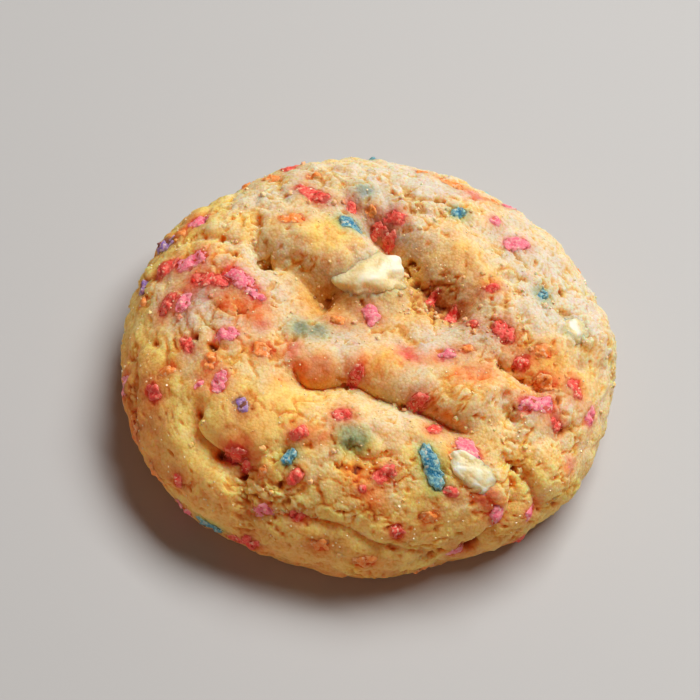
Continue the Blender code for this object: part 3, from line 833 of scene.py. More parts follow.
# Each colour's sprinkles that the picture shows: across, along, heading and length
SHOWN_SPRINKLES: dict[Colour, tuple[tuple[float, float, float, float], ...]] = {
    Colour.RED: (
        (-18.5, 32.5, 20, 3.2), (-13.1, 22.1, -32, 6.6), (-6.5, 20.6, -60, 2.6), (-1.3, 18.3, -40, 3.0),
        (0.5, 16.6, -50, 2.8), (1.0, 19.4, -17, 3.6), (-33.2, 6.2, 30, 5.0), (-25.1, 2.7, -5, 6.4),
        (-31.3, -1.0, 70, 4.2), (-26.6, -8.4, -60, 3.2), (-1.8, -9.4, 40, 3.2), (-31.3, -15.5, -60, 3.6),
        (16.4, 7.5, 40, 2.2), (8.6, 7.5, 60, 2.6), (11.7, 4.8, 60, 3.0), (19.0, 0.8, -35, 4.2),
        (14.3, 1.6, -40, 1.8), (9.0, -12.7, 5, 3.4), (31.4, -4.7, -60, 3.6), (29.3, -11.5, -30, 3.0),
        (11.8, -17.8, 45, 3.2), (15.7, -27.4, 20, 2.4), (4.9, -26.5, 35, 3.8), (-3.0, -18.3, 0, 3.2),
        (-8.9, -22.0, 20, 3.1), (-8.7, -28.6, 60, 3.0), (-17.7, -24.4, -10, 4.2), (-16.6, -27.3, 70, 2.4),
        (-27.2, -29.0, 60, 2.6), (-18.0, -41.5, 0, 6.0), (-16.9, -39.6, 60, 2.0), (-8.0, -34.8, -40, 3.0),
        (8.6, -34.8, -30, 3.0), (33.8, -32.5, 35, 3.6), (22.6, -2.7, 0, 2.6), (1.9, -29.3, 0, 1.6),
    ),
    Colour.ORANGE: (
        (-21.0, 28.0, 30, 3.0), (-13.6, 27.3, 10, 2.4), (-15.5, 15.4, 15, 4.2), (-32.4, 13.5, 20, 2.4),
        (-22.2, -1.4, 0, 3.0), (-18.3, -1.7, -10, 4.0), (-15.7, -8.3, 0, 3.6), (-5.6, -0.3, 0, 2.4),
        (-8.1, -9.9, 20, 5.0), (-22.7, -11.2, 85, 3.4), (-29.1, -12.3, 20, 3.0), (-37.0, 0.8, 40, 2.4),
        (9.0, 32.0, -20, 5.0), (4.5, 33.6, 0, 2.4), (16.6, 29.4, -20, 2.4), (14.1, -3.0, 20, 2.2),
        (9.7, -5.9, 0, 1.6), (25.2, -0.7, 0, 3.0), (15.0, -7.5, 10, 5.4), (26.7, -4.6, -10, 3.6),
        (13.2, -31.8, 30, 3.4), (4.5, -41.0, 5, 4.2), (4.0, -30.9, 20, 3.0), (-5.2, -22.1, 40, 2.4),
        (-36.0, -20.4, 85, 5.0), (-32.7, -28.0, -70, 4.4), (15.7, -21.7, 0, 3.0), (-13.8, -28.0, 70, 2.4),
        (-3.7, -39.4, 0, 3.2), (0.3, -27.0, 0, 2.6), (-12.6, -12.8, 0, 1.0), (-3.3, 20.3, 20, 2.0),
    ),
    Colour.PINK: (
        (-32.0, 26.0, 35, 3.6), (-29.7, 15.7, 15, 4.2), (-28.8, 6.6, 22, 5.8), (-20.6, 3.1, -34, 6.6),
        (-17.8, 0.8, -20, 2.6), (-28.5, -1.0, 80, 3.6), (-21.0, -6.7, 20, 4.0), (-16.3, -4.0, 0, 1.4),
        (-0.8, 1.9, -60, 3.8), (-21.0, -14.2, 73, 4.0), (-23.9, -14.7, 60, 1.8), (-38.2, -13.0, 80, 3.6),
        (16.9, 22.7, 60, 2.6), (20.5, 18.9, 30, 5.0), (13.5, 29.5, -25, 3.2), (20.0, 30.5, -20, 2.8),
        (11.2, -4.5, 25, 3.0), (5.1, -4.4, 0, 1.6), (6.0, -6.2, -20, 3.0), (25.6, -9.5, 15, 6.0),
        (35.4, -7.7, 80, 3.6), (17.2, -19.9, -40, 5.0), (20.5, -26.4, 20, 3.0), (24.0, -28.3, -50, 4.0),
        (29.4, -25.7, 60, 3.0), (33.3, -16.8, 60, 3.0), (21.3, -37.3, 10, 4.0), (-13.4, -33.6, 10, 3.6),
        (-30.8, -35.8, -50, 4.2), (-11.5, -7.5, 85, 3.0),
    ),
    Colour.BLUE: (
        (-6.4, 16.6, -5, 3.8), (-4.8, 23.7, -15, 2.6), (10.8, 22.1, 0, 2.6), (24.6, 9.8, 60, 2.4),
        (-9.5, -3.2, 0, 5.0), (12.2, -24.6, -62, 7.6), (-0.7, -22.0, 0, 4.6), (-10.0, -25.7, 65, 2.8),
        (-24.6, -38.0, -20, 5.0),
    ),
    Colour.VIOLET: (
        (-35.4, 12.5, 10, 4.0), (-17.4, -17.8, -65, 3.2), (-41.0, -16.0, 80, 4.0), (-38.0, 4.5, 70, 2.6),
    ),
}

# How much further out of the dough the one at a place stands, or lies under it where less than 0
SPRINKLE_LIFTS: dict[Place, float] = {
    (-8.9, -22.0): 0.45, (-8.7, -28.6): 0.35, (12.2, -24.6): 0.3, (-5.6, -0.3): 0.3, (-0.8, 1.9): 0.2,
    (10.8, 22.1): 0.2, (-10.0, -25.7): 0.1, (20.5, 18.9): 0.15, (-8.1, -9.9): -0.5, (15.0, -7.5): -0.5,
    (-22.2, -1.4): -0.5, (-18.3, -1.7): -0.5, (-5.2, -22.1): -0.6, (-9.5, -3.2): -0.55, (-0.7, -22.0): -0.6,
    (-4.8, 23.7): -0.6, (6.0, -6.2): -0.5, (20.5, -26.4): -0.5, (-11.5, -7.5): -0.5, (13.5, 29.5): -0.45,
    (33.3, -16.8): -0.5, (5.1, -4.4): -0.4, (9.7, -5.9): -0.4, (4.0, -30.9): -0.4, (0.3, -27.0): -0.4,
    (-12.6, -12.8): -0.3, (-16.3, -4.0): -0.4,
}


@dataclass(frozen=True)
class SprinkleScatter:
    """Sprinkles for the back and the far sides, spread along a sunflower spiral.

    Attributes:
        count: places on the spiral over the whole skin.
        spacing: the least distance between two sprinkles.
        reach: how far from the crown they lie.
        back_line: how far back the far side starts.
        back_bow: how the far side's line bows forward to the sides.
        under_belly: the distance from the crown at which the skin turns under.
        jitter: how far each strays from its place on the spiral.
        lengths: the shortest and the longest.
        mix: how many there are of each colour, in Colour's order.
        seed: which draw it is.
    """

    count: int = 190
    spacing: float = 6.0
    reach: float = 48.0
    back_line: float = 37.0
    back_bow: float = 87.0
    under_belly: float = 45.5
    jitter: float = 1.5
    lengths: tuple[float, float] = (2.4, 4.2)
    mix: tuple[int, ...] = (6, 5, 5, 2, 1)
    seed: int = 11

    def on_far_side(self, across: float, along: float) -> bool:
        """Whether a place is round the back, or under the belly."""
        behind = along > self.back_line - across**2 / self.back_bow
        return behind or math.hypot(across, along) > self.under_belly

    def place(self, taken: list[Sprinkle]) -> list[Sprinkle]:
        """Sprinkles on the far side that keep clear of those already there.

        Args:
            taken: the sprinkles already there.

        Returns:
            The new ones.
        """
        draw = random.Random(self.seed)
        golden = math.pi * (3.0 - math.sqrt(5.0))
        placed: list[Sprinkle] = []
        for turn in range(self.count):
            walked = self.reach * math.sqrt((turn + 0.5) / self.count)
            across = walked * math.cos(turn * golden) + draw.uniform(-self.jitter, self.jitter)
            along = walked * math.sin(turn * golden) + draw.uniform(-self.jitter, self.jitter)
            heading = draw.uniform(0.0, 180.0)
            length = draw.uniform(*self.lengths)
            colour = draw.choices(tuple(Colour), weights=self.mix)[0]
            near = min(math.hypot(across - other.across, along - other.along) for other in taken + placed)
            inside = math.hypot(across, along) < self.reach
            if self.on_far_side(across, along) and near > self.spacing and inside:
                placed.append(Sprinkle(across, along, heading, length, colour))
        return placed


def all_sprinkles() -> list[Sprinkle]:
    """Every sprinkle of the cookie: those that the picture shows and the scattered ones.

    Returns:
        The sprinkles, the shown ones first.
    """
    shown = [
        Sprinkle(*place, colour, SPRINKLE_LIFTS.get(place[:2], 0.0))
        for colour, places in SHOWN_SPRINKLES.items()
        for place in places
    ]
    return shown + SprinkleScatter().place(shown)


# ---------------------------------------------------------------- finishes


@dataclass(frozen=True)
class BakedDough:
    """Soft baked sugar-cookie dough: butter, flour and sugar, baked pale with golden patches, partly painted
    shade.

    Light goes a little way into it, so shaded banks glow orange. Its grains of sugar and flour give the
    eye a fine, dry speckle, painted shade darkens its pores, cracks, folds and holes yellow and brown, and it
    has nearly no gloss.

    Attributes:
        name: the material's name.
        cream: the pale baked skin.
        gold: where it baked golden, and where painted shade turns it golden.
        crust: where it baked brown, at the foot.
        pore: the yellow of a shallow pore, partly the crumb's own colour and partly painted shade.
        crack: the painted shade of the deepest cracks and folds.
        pit: the painted dark brown shade of the few deepest holes.
        grain: the size of a grain, in millimetres.
        clump: the size of a clump of grains, in millimetres.
        cloud: the size of its paler and darker clouds, in millimetres.
        dust_height: how much more the finest dust stands up than the grains, less than 0 as it is inverted.
        bump: how far the grains stand up, in millimetres.
        scatter_depth: how deep light goes, in millimetres.
        glow: the share of that depth for red, green and blue light.
        roughness: how dull it is.
    """

    name: str = "baked_cookie_dough"
    cream: str = "#DEDAD6"
    gold: str = "#FFDC8C"
    crust: str = "#E8A060"
    pore: str = "#F8DEA8"
    crack: str = "#D09850"
    pit: str = "#98602C"
    grain: float = 0.45
    clump: float = 1.125
    cloud: float = 1.8
    dust_height: float = -1.2
    bump: float = 0.08
    scatter_depth: float = 6.5
    glow: tuple[float, float, float] = (1.0, 0.3, 0.09)
    roughness: float = 0.66

    def material(self) -> bpy.types.Material:
        """Builds the dough's material from the bake, relief and dye painted on the mesh, with painted shade
        among them.

        Returns:
            The material.
        """
        material, tree, shader = new_material(self.name)
        place = place_on_piece(tree)
        bake = add_node(tree, "Attribute", attribute_name="bake")["Fac"]
        relief = add_node(tree, "Attribute", attribute_name="relief")["Fac"]
        # The dye attribute also holds painted shade in the basin and the right valley
        dye = add_node(tree, "Attribute", attribute_name="dye")["Color"]
        grains = add_node(tree, "TexVoronoi", {"Scale": 1 / self.grain}, place)["Distance"]
        clumps = add_node(tree, "TexVoronoi", {"Scale": 1 / self.clump}, place)["Distance"]
        fine = {"Scale": 1 / self.grain, "Detail": 4.0, "Roughness": 0.65}
        dust = add_node(tree, "TexNoise", fine, place)["Fac"]
        clouds = add_node(tree, "TexNoise", {"Scale": 1 / self.cloud, "Detail": 4.0}, place)["Fac"]
        browning = ((0.0, self.cream), (0.5, self.gold), (1.0, self.crust))
        # Painted shade: the relief darkens pores, cracks, folds and holes to yellow and brown
        hollow_shading = (
            (0.0, "#FFFFFF"), (SKIN_LEVEL, "#FFFCF4"), (0.66, self.pore), (0.88, self.crack), (1.0, self.pit),
        )
        between_grains = ((0.2, "#FFFFFF"), (0.55, "#FFF9EE"), (1.0, "#F2D8A4"))
        clouding = {"From Min": 0.3, "From Max": 0.7, "To Min": 0.92, "To Max": 1.06}
        colour = add_node(tree, "ValToRGB", links={"Fac": bake}, stops=browning)[0]
        tones = [
            add_node(tree, "ValToRGB", links={"Fac": relief}, stops=hollow_shading)[0],
            add_node(tree, "ValToRGB", links={"Fac": grains}, stops=between_grains)[0],
            add_node(tree, "MapRange", clouding, {"Value": clouds})[0],
            dye,
        ]
        for tone in tones:
            colour = add_node(tree, "VectorMath", links={0: colour, 1: tone}, operation="MULTIPLY")[0]
        coarse = add_node(tree, "Math", links={0: clumps, 1: grains}, operation="ADD")[0]
        height = add_node(
            tree, "Math", {1: self.dust_height}, {0: dust, 2: coarse}, operation="MULTIPLY_ADD"
        )[0]
        bump = add_node(
            tree, "Bump", {"Strength": 1.0, "Distance": self.bump * MM}, {"Height": height}, invert=True
        )[0]
        values = {
            "Roughness": self.roughness,
            "IOR": 1.45,
            "Specular IOR Level": 0.35,
            "Subsurface Weight": 0.8,
            "Subsurface Radius": self.glow,
            "Subsurface Scale": self.scatter_depth * MM,
        }
        fill(shader, values, {"Base Color": colour, "Normal": bump})
        return material


@dataclass(frozen=True)
class SprinkleSugar:
    """Coloured sugar paste that melted into the dough: mottled, grainy, dull, with crumbs stuck in it.

    Attributes:
        colour: the sugar's colour.
        mottle: the size of its paler patches, in millimetres.
        grain: the size of its grains, in millimetres.
        crumb: the colour of the crumbs of dough that stick in it.
        melted: how far its rim has taken the dough's colour.
        bump: how far its grains stand up, in millimetres.
        scatter_depth: how deep light goes, in millimetres.
        roughness: how dull it is.
    """

    colour: Colour
    mottle: float = 0.55
    grain: float = 0.4
    crumb: str = "#FDE6C4"
    melted: float = 0.6
    bump: float = 0.12
    scatter_depth: float = 0.4
    roughness: float = 0.55

    def material(self) -> bpy.types.Material:
        """Builds the sugar's material, with the rim painted on the mesh.

        Returns:
            The material.
        """
        material, tree, shader = new_material(f"{self.colour.name.lower()}_sprinkle_sugar")
        place = place_on_piece(tree)
        mottles = {"Scale": 1 / self.mottle, "Detail": 3.0, "Roughness": 0.6}
        patch = add_node(tree, "TexNoise", mottles, place)["Fac"]
        grains = add_node(tree, "TexVoronoi", {"Scale": 1 / self.grain}, place)
        rim = add_node(tree, "Attribute", attribute_name="rim")["Fac"]
        mottling = ((0.42, self.colour.bare), (0.72, self.colour.dye))
        sugar = add_node(tree, "ValToRGB", links={"Fac": patch}, stops=mottling)[0]
        # A grain's own random value picks the few that are crumbs
        own = add_node(tree, "SeparateColor", links={0: grains["Color"]})[0]
        few = {"From Min": 0.85, "From Max": 0.95, "To Max": 0.5}
        stuck = add_node(tree, "MapRange", few, {"Value": own})[0]
        crumbed = add_node(
            tree, "Mix", {"B": linear(self.crumb)}, {"Factor": stuck, "A": sugar}, data_type="RGBA"
        )["Result"]
        soaked = add_node(tree, "Math", {1: self.melted}, {0: rim}, operation="MULTIPLY")[0]
        shade = add_node(
            tree, "Mix", {"B": linear(self.colour.dye)}, {"Factor": soaked, "A": crumbed}, data_type="RGBA"
        )["Result"]
        height = add_node(tree, "Math", links={0: grains["Distance"], 1: patch}, operation="SUBTRACT")[0]
        bump = add_node(
            tree, "Bump", {"Strength": 0.8, "Distance": self.bump * MM}, {"Height": height}, invert=True
        )[0]
        values = {
            "Roughness": self.roughness,
            "Subsurface Weight": 0.5,
            "Subsurface Radius": (1.0, 0.6, 0.5),
            "Subsurface Scale": self.scatter_depth * MM,
        }
        fill(shader, values, {"Base Color": shade, "Normal": bump})
        return material


@dataclass(frozen=True)
class WhiteChocolate:
    """White chocolate that softened in the oven and soaked into the dough round it.

    Its top is smooth, ivory and waxy, with light going deep into it, and kept palest as a painted highlight;
    toward the dough it turns golden, partly as painted shade, and takes up the dough's grain.

    Attributes:
        ivory: the top, palest as a painted highlight.
        butter: lower down, partly painted shade.
        golden: where it meets the dough: the dough's colour and painted shade.
        cloud: the size of its uneven patches, in millimetres.
        grain: the size of the dough's grains in its rim, in millimetres.
        bump: how far those grains stand up, in millimetres.
        scatter_depth: how deep light goes, in millimetres.
        roughness: how dull it is.
    """

    ivory: str = "#FFF6E2"
    butter: str = "#FDECC8"
    golden: str = "#F8DCA8"
    cloud: float = 1.2
    grain: float = 0.45
    bump: float = 0.15
    scatter_depth: float = 3.0
    roughness: float = 0.42

    def material(self) -> bpy.types.Material:
        """Builds the chip's material from how deep in the dough each point is, painted as "sunk", which also
        paints shade low down and a highlight on top.

        Returns:
            The material.
        """
        material, tree, shader = new_material("white_chocolate")
        place = place_on_piece(tree)
        sunk = add_node(tree, "Attribute", attribute_name="sunk")["Fac"]
        patch = add_node(tree, "TexNoise", {"Scale": 1 / self.cloud, "Detail": 4.0}, place)["Fac"]
        grains = add_node(tree, "TexVoronoi", {"Scale": 1 / self.grain}, place)["Distance"]
        # Painted shade and highlight: sunk points turn golden, the top stays ivory
        uneven = add_node(tree, "Math", {1: 0.5}, {0: patch, 2: sunk}, operation="MULTIPLY_ADD")[0]
        soaking_and_shade = ((0.3, self.ivory), (0.7, self.butter), (1.0, self.golden))
        shade = add_node(tree, "ValToRGB", links={"Fac": uneven}, stops=soaking_and_shade)[0]
        height = add_node(tree, "Math", links={0: grains, 1: sunk}, operation="MULTIPLY")[0]
        bump = add_node(
            tree, "Bump", {"Strength": 0.9, "Distance": self.bump * MM}, {"Height": height}, invert=True
        )[0]
        values = {
            "Roughness": self.roughness,
            "Subsurface Weight": 0.8,
            "Subsurface Radius": (1.0, 0.6, 0.3),
            "Subsurface Scale": self.scatter_depth * MM,
        }
        fill(shader, values, {"Base Color": shade, "Normal": bump})
        return material


@dataclass(frozen=True)
class GrainSugar:
    """White sugar in small clear crystals: bright glints off flat faces.

    Attributes:
        pale: the whiter crystals.
        warm: those that took up butter.
        patch: the size of a patch of either, in millimetres.
        scatter_depth: how deep light goes, in millimetres.
        roughness: how dull their faces are.
    """

    pale: str = "#FDEBC8"
    warm: str = "#FAD89C"
    patch: float = 2.0
    scatter_depth: float = 0.15
    roughness: float = 0.15

    def material(self) -> bpy.types.Material:
        """Builds the sugar grains' material.

        Returns:
            The material.
        """
        material, tree, shader = new_material("sugar_crystals")
        patch = add_node(tree, "TexNoise", {"Scale": 1 / self.patch}, place_on_piece(tree))["Fac"]
        shades = {"A": linear(self.pale), "B": linear(self.warm)}
        shade = add_node(tree, "Mix", shades, {"Factor": patch}, data_type="RGBA")["Result"]
        values = {
            "Roughness": self.roughness,
            "IOR": 1.54,
            "Subsurface Weight": 1.0,
            "Subsurface Radius": (1.0, 0.9, 0.7),
            "Subsurface Scale": self.scatter_depth * MM,
        }
        fill(shader, values, {"Base Color": shade})
        return material


@dataclass(frozen=True)
class PaleFloor:
    """A plain matt table top, warm grey.

    Attributes:
        shade: its colour.
        roughness: how dull it is.
    """

    shade: str = "#B9BABC"
    roughness: float = 0.55

    def material(self) -> bpy.types.Material:
        """Builds the floor's material.

        Returns:
            The material.
        """
        material, _, shader = new_material("pale_floor")
        fill(shader, {"Base Color": linear(self.shade), "Roughness": self.roughness})
        return material


# ---------------------------------------------------------------- pieces


@dataclass
class Dough:
    """The cookie's dough, with crumb, pores and cracks over its baked form.

    Attributes:
        form: the baked form it is laid over.
        cuts: edges along a side of the cube that the ball is made from.
        sole_share: how densely the sole is covered, compared with the skin.
        rim_squeeze: how much finer the crumb is at the rim.
        coarseness: how coarse the crumb is on the whole, from 0 to 1.
        coarse_swing: how far that wanders.
        coarse_wave: the size of the wander's waves.
        swirls: what bends the crumb: how far, in waves of what size, and which noise.
        billow_size: the size of the crumb's rounded lumps.
        billow_height: how far they stand up where it is coarsest.
        flake_size: the size of a flake.
        flake_levels: how many flakes lie over each other.
        flake_step: how thick a flake is.
        flake_edge: how steep its torn edge is, as a share of the flake.
        plate_size: the size of the plates between cracks.
        cracking: where the skin is cracked, by a noise and the coarseness.
        crack_wave: the size of that noise's waves.
        crack_depth: how deep a crack is.
        crack_width: how wide it is.
        nub_size: the size of the smallest lumps.
        nub_height: how far they stand up.
        nub_seam: how wide the seams between them are, in lump sizes.
        pores: each kind's spacing, radius and depth.
        pore_wall: how far in a pore is at its full depth, as a share of its radius.
        grain_size: the size of the crumb's grain.
        grain_height: how far it stands up.
        craggy: places where the crumb is coarse.
        smooth: places where it baked smooth.
        bake_level: how brown it is on the whole, from 0 to 1.
        golden: places painted golden: partly real browning, partly painted shade on banks and slopes turned
            from the light.
        pale: places that stayed pale.
        lit_side: the side turned toward the key light, where the belly gets the least painted shade, in
            degrees round the cookie.
        front_bake_and_shade: how it browns to the front, partly painted shade on the side turned from the key
            light.
        belly_bake_and_shade: how it browns to the belly, with more painted shade there on the side turned
            from the key light.
        foot_bake: how it browns to the foot.
        shaded: how deep the skin's folds sink where painted shade starts to darken them, and how much shade
            is added.
        relief_height: the height from the palest lump to the deepest pore, as painted.
        pits: deep holes, which the relief paints dark brown as shade.
        lap_height: how far dough climbs a chip's side.
        lap_reach: how wide that edge is.
        lap_line: where it lies, as a share of the chip's length and width.
        dye_reach: how far dye runs into the dough.
        halo: how strong it is there.
        stain_share: the sprinkle's own share of its girth that stains the dough under it.
        dye_and_shade_blushes: patches of dough that took up dye, and three of painted shade in the basin and
            the right valley, with what each does to their colour.
    """

    form: CookieForm = field(default_factory=CookieForm)
    cuts: int = 128
    sole_share: float = 0.12
    rim_squeeze: float = 0.3
    coarseness: float = 0.41
    coarse_swing: float = 0.3
    coarse_wave: float = 8.0
    swirls: tuple[tuple[float, float, Pattern], ...] = (
        (0.9, 2.6, Pattern.WIDE_SWIRL), (0.45, 0.9, Pattern.FINE_SWIRL),
    )
    billow_size: float = 3.4
    billow_height: float = 0.75
    flake_size: float = 3.6
    flake_levels: float = 3.2
    flake_step: float = 0.24
    flake_edge: float = 0.16
    plate_size: float = 4.2
    cracking: Climb = Climb(0.47, 0.3)
    crack_wave: float = 5.5
    crack_depth: float = 0.52
    crack_width: float = 0.24
    nub_size: float = 1.5
    nub_height: float = 0.16
    nub_seam: float = 0.25
    pores: tuple[tuple[float, float, float], ...] = ((4.4, 1.0, 0.55), (2.4, 0.6, 0.38), (1.5, 0.38, 0.25))
    pore_wall: float = 0.4
    grain_size: float = 0.6
    grain_height: float = 0.08
    craggy: tuple[Spot, ...] = (
        Spot(-25, 16, 11, 0.22), Spot(-25, -4, 8, 0.26), Spot(22, 12, 14, 0.15), Spot(28, -4, 8, 0.3),
        Spot(-12, -30, 8, 0.4), Spot(5, 23, 8, 0.2), Spot(9, 8, 5, 0.4), Spot(30, -22, 7, 0.12),
        Spot(23, -16, 6, 0.22), Spot(2, -26, 6, 0.4), Spot(12, -29, 7, 0.2),
    )
    smooth: tuple[Spot, ...] = (
        Spot(-15, -18, 8, 0.7), Spot(-2, -1, 6, 0.6), Spot(6, -8, 7, 0.6), Spot(-8, 15, 5, 0.8),
        Spot(-14, 12, 5, 0.7), Spot(9, -21, 6, 0.5), Spot(10, 14, 4, 0.6), Spot(-33, -20, 6, 0.4),
    )
    # Partly real browning, partly painted shade on banks and slopes turned from the key light
    golden: tuple[Spot, ...] = (
        Spot(-9.5, 14, 4.5, 0.4), Spot(11.5, 14, 4.5, 0.3), Spot(16, 9, 4, 0.3), Spot(12, -9, 5, 0.1),
        Spot(1, -9, 4, 0.3), Spot(-15, -18, 8, 0.3), Spot(-34, -16, 9, 0.4), Spot(26, -3, 4, 0.3),
        Spot(-32, 15, 8, 0.45), Spot(-18, 13, 5, 0.2), Spot(5.5, 11.5, 3.5, 0.2), Spot(-34, -6, 6, 0.2),
        Spot(12, -27, 9, 0.12), Spot(25, -25, 9, 0.1), Spot(-2, -38, 12, 0.08), Spot(19, -15, 5, 0.15),
        Spot(33, -2, 6, 0.15),
    )
    # The side turned toward the key light, away from which the belly is painted darker as shade
    lit_side: float = 40.0
    pale: tuple[Spot, ...] = (
        Spot(-22, 18, 7, 0.1), Spot(0, 27, 8, 0.25), Spot(26, 12, 9, 0.3), Spot(6, -17, 5, 0.15),
    )
    bake_level: float = 0.14
    # Browner to the front: partly baking, partly painted shade on the side turned from the key light
    front_bake_and_shade: Climb = Climb(4.0, 18.0, 0.16)
    # Painted shade: the belly is painted browner on its side turned from the key light
    belly_bake_and_shade: Climb = Climb(31.0, 11.0, 0.42)
    foot_bake: Climb = Climb(43.0, 7.0, 0.5)
    # Painted shade in the form's folds and hollows
    shaded: Climb = Climb(1.2, 5.5, 0.35)
    relief_height: float = 1.7
    # Deep holes, which the relief paints dark brown as shade
    pits: tuple[Spot, ...] = (
        Spot(-22.8, -8.7, 0.6, 1.4), Spot(0.7, -26.0, 0.9, 1.3), Spot(24.0, -36.0, 1.1, 1.5),
        Spot(21.4, -35.6, 0.7, 1.0), Spot(-23.4, -19.2, 0.7, 1.4), Spot(-20.5, -25.2, 1.0, 1.0),
        Spot(-18.2, 8.4, 0.8, 0.7),
    )
    lap_height: float = 0.55
    lap_reach: float = 1.5
    lap_line: float = 0.46
    dye_reach: float = 1.0
    halo: float = 0.55
    stain_share: float = 0.56
    dye_and_shade_blushes: tuple[tuple[Spot, str], ...] = (
        (Spot(-26.0, 2.5, 4.5, 0.5), "#FB9488"), (Spot(-22.0, -1.4, 2.2, 0.6), "#FBAA5C"),
        (Spot(-18.0, -1.7, 2.8, 0.6), "#FBAA5C"), (Spot(-30.0, -3.0, 3.5, 0.4), "#F7907C"),
        (Spot(-16.0, -8.0, 2.5, 0.35), "#FBA874"), (Spot(-9.0, -10.2, 1.7, 0.35), "#FBA458"),
        (Spot(15.0, -7.5, 2.2, 0.15), "#FCB074"), (Spot(5.8, -6.0, 2.2, 0.4), "#FA98A4"),
        (Spot(0.5, -9.0, 3.5, 0.4), "#FAAC70"), (Spot(21.5, -26.8, 3.5, 0.5), "#FA9A8C"),
        (Spot(3.0, -27.5, 3.5, 0.35), "#FBAE74"), (Spot(-9.5, -3.2, 2.4, 0.35), "#B0C8C4"),
        (Spot(-0.7, -22.0, 2.4, 0.35), "#BCDCC8"), (Spot(27.0, -6.5, 4.5, 0.4), "#FAA488"),
        # From (-7.0, 4.0) on, three are painted shade in the basin and the right valley; the others are dye
        (Spot(12.0, 28.0, 3.0, 0.3), "#FAA49C"), (Spot(-7.0, 4.0, 5.5, 0.45), "#E8B488"),
        (Spot(10.0, 8.0, 5.5, 0.45), "#D8A484"), (Spot(-2.0, 0.0, 6.0, 0.2), "#FBB48C"),
        (Spot(-18.0, -24.5, 3.0, 0.4), "#F09070"), (Spot(19.0, -5.0, 4.0, 0.35), "#F4A468"),
    )

    def ball(self) -> tuple[bpy.types.Object, np.ndarray, np.ndarray]:
        """A cube cut into an even grid, with each point's place on the skin.

        Returns:
            The object, and its points' distances across and along.
        """
        ball = start_primitive("cube_add", "dough", size=2.0)
        bpy.ops.object.mode_set(mode="EDIT")
        bpy.ops.mesh.select_all(action="SELECT")
        bpy.ops.mesh.subdivide(number_cuts=7)
        bpy.ops.mesh.subdivide(number_cuts=self.cuts // 8 - 1)
        bpy.ops.object.mode_set(mode="OBJECT")
        even = np.tan(coordinates(ball.data) * MM * math.pi / 4.0)
        even /= np.linalg.norm(even, axis=1, keepdims=True)
        walked, radius, _, foot = self.form.profile()
        share = np.where(walked[1:] > foot, self.sole_share, 1.0)
        covered = np.concatenate(([0.0], np.cumsum((radius[1:] + radius[:-1]) * np.diff(walked) * share)))
        reach = np.interp((1.0 - even[:, 2]) / 2.0 * covered[-1], covered, walked)
        turn = np.arctan2(even[:, 1], even[:, 0])
        return ball, reach * np.cos(turn), reach * np.sin(turn)

    def cragginess(self, across: np.ndarray, along: np.ndarray, points: np.ndarray) -> np.ndarray:
        """How coarse the crumb is at each place, from 0 to 1.

        Args:
            across: the places' distances to the right of the crown.
            along: their distances away from the crown.
            points: the points of the baked skin there.

        Returns:
            The coarseness of each place.
        """
        coarse = self.coarseness + self.coarse_swing * noise_at(points, self.coarse_wave, Pattern.COARSENESS)
        for spot in self.craggy:
            coarse += spot.amount * spot.strength(across, along)
        for spot in self.smooth:
            coarse *= 1.0 - spot.amount * spot.strength(across, along)
        return np.clip(coarse, 0.06, 1.0)

    def crumb(self, across: np.ndarray, along: np.ndarray, points: np.ndarray) -> np.ndarray:
        """How far lumps, flakes, cracks and pores lift or sink the skin, in millimetres.

        Args:
            across: the places' distances to the right of the crown.
            along: their distances away from the crown.
            points: the points of the baked skin there.

        Returns:
            The lift of each place.
        """
        coarse = self.cragginess(across, along, points)
        outward = np.hypot(points[:, 0], points[:, 1]) / self.form.mean_radius
        bent = points * (1.0 + self.rim_squeeze * outward**2)[:, None]
        for reach, size, pattern in self.swirls:
            bent = bent + reach * swirl_at(points, size, pattern)
        rise = coarse**2 * self.billow_height * (billow_at(bent, self.billow_size, Pattern.BILLOWS) - 0.5)
        level = self.flake_levels * noise_at(bent, self.flake_size, Pattern.FLAKES)
        climb = level - np.floor(level)
        torn = ease((climb - 1.0 + self.flake_edge) / self.flake_edge) - climb
        rise += coarse * self.flake_step * (torn + 0.5)
        nubs = cells_at(bent, self.nub_size, Pattern.NUBS).clear
        rise += coarse * self.nub_height * (np.minimum(nubs / self.nub_seam, 1.0) - 0.85)
        plates = cells_at(bent, self.plate_size, Pattern.PLATES)
        cracked = self.cracking.share(noise_at(points, self.crack_wave, Pattern.CRACKING) + coarse)
        rise -= cracked * self.crack_depth * np.exp(-((plates.seam / self.crack_width) ** 2))
        for number, (spacing, radius, depth) in enumerate(self.pores):
            holes = cells_at(bent, spacing, Pattern.PORES + number)
            size = radius * (0.45 + 0.75 * holes.own[:, 0] + 0.6 * (coarse - 0.5))
            inside = 1.0 - np.linalg.norm(holes.middle, axis=1) / size.clip(0.05)
            rise -= depth * ease(inside / self.pore_wall)
        rise += (0.4 + 0.6 * coarse) * self.grain_height * noise_at(points, self.grain_size, Pattern.GRAIN)
        for pit in self.pits:
            rise -= pit.amount * pit.strength(across, along)
        return rise

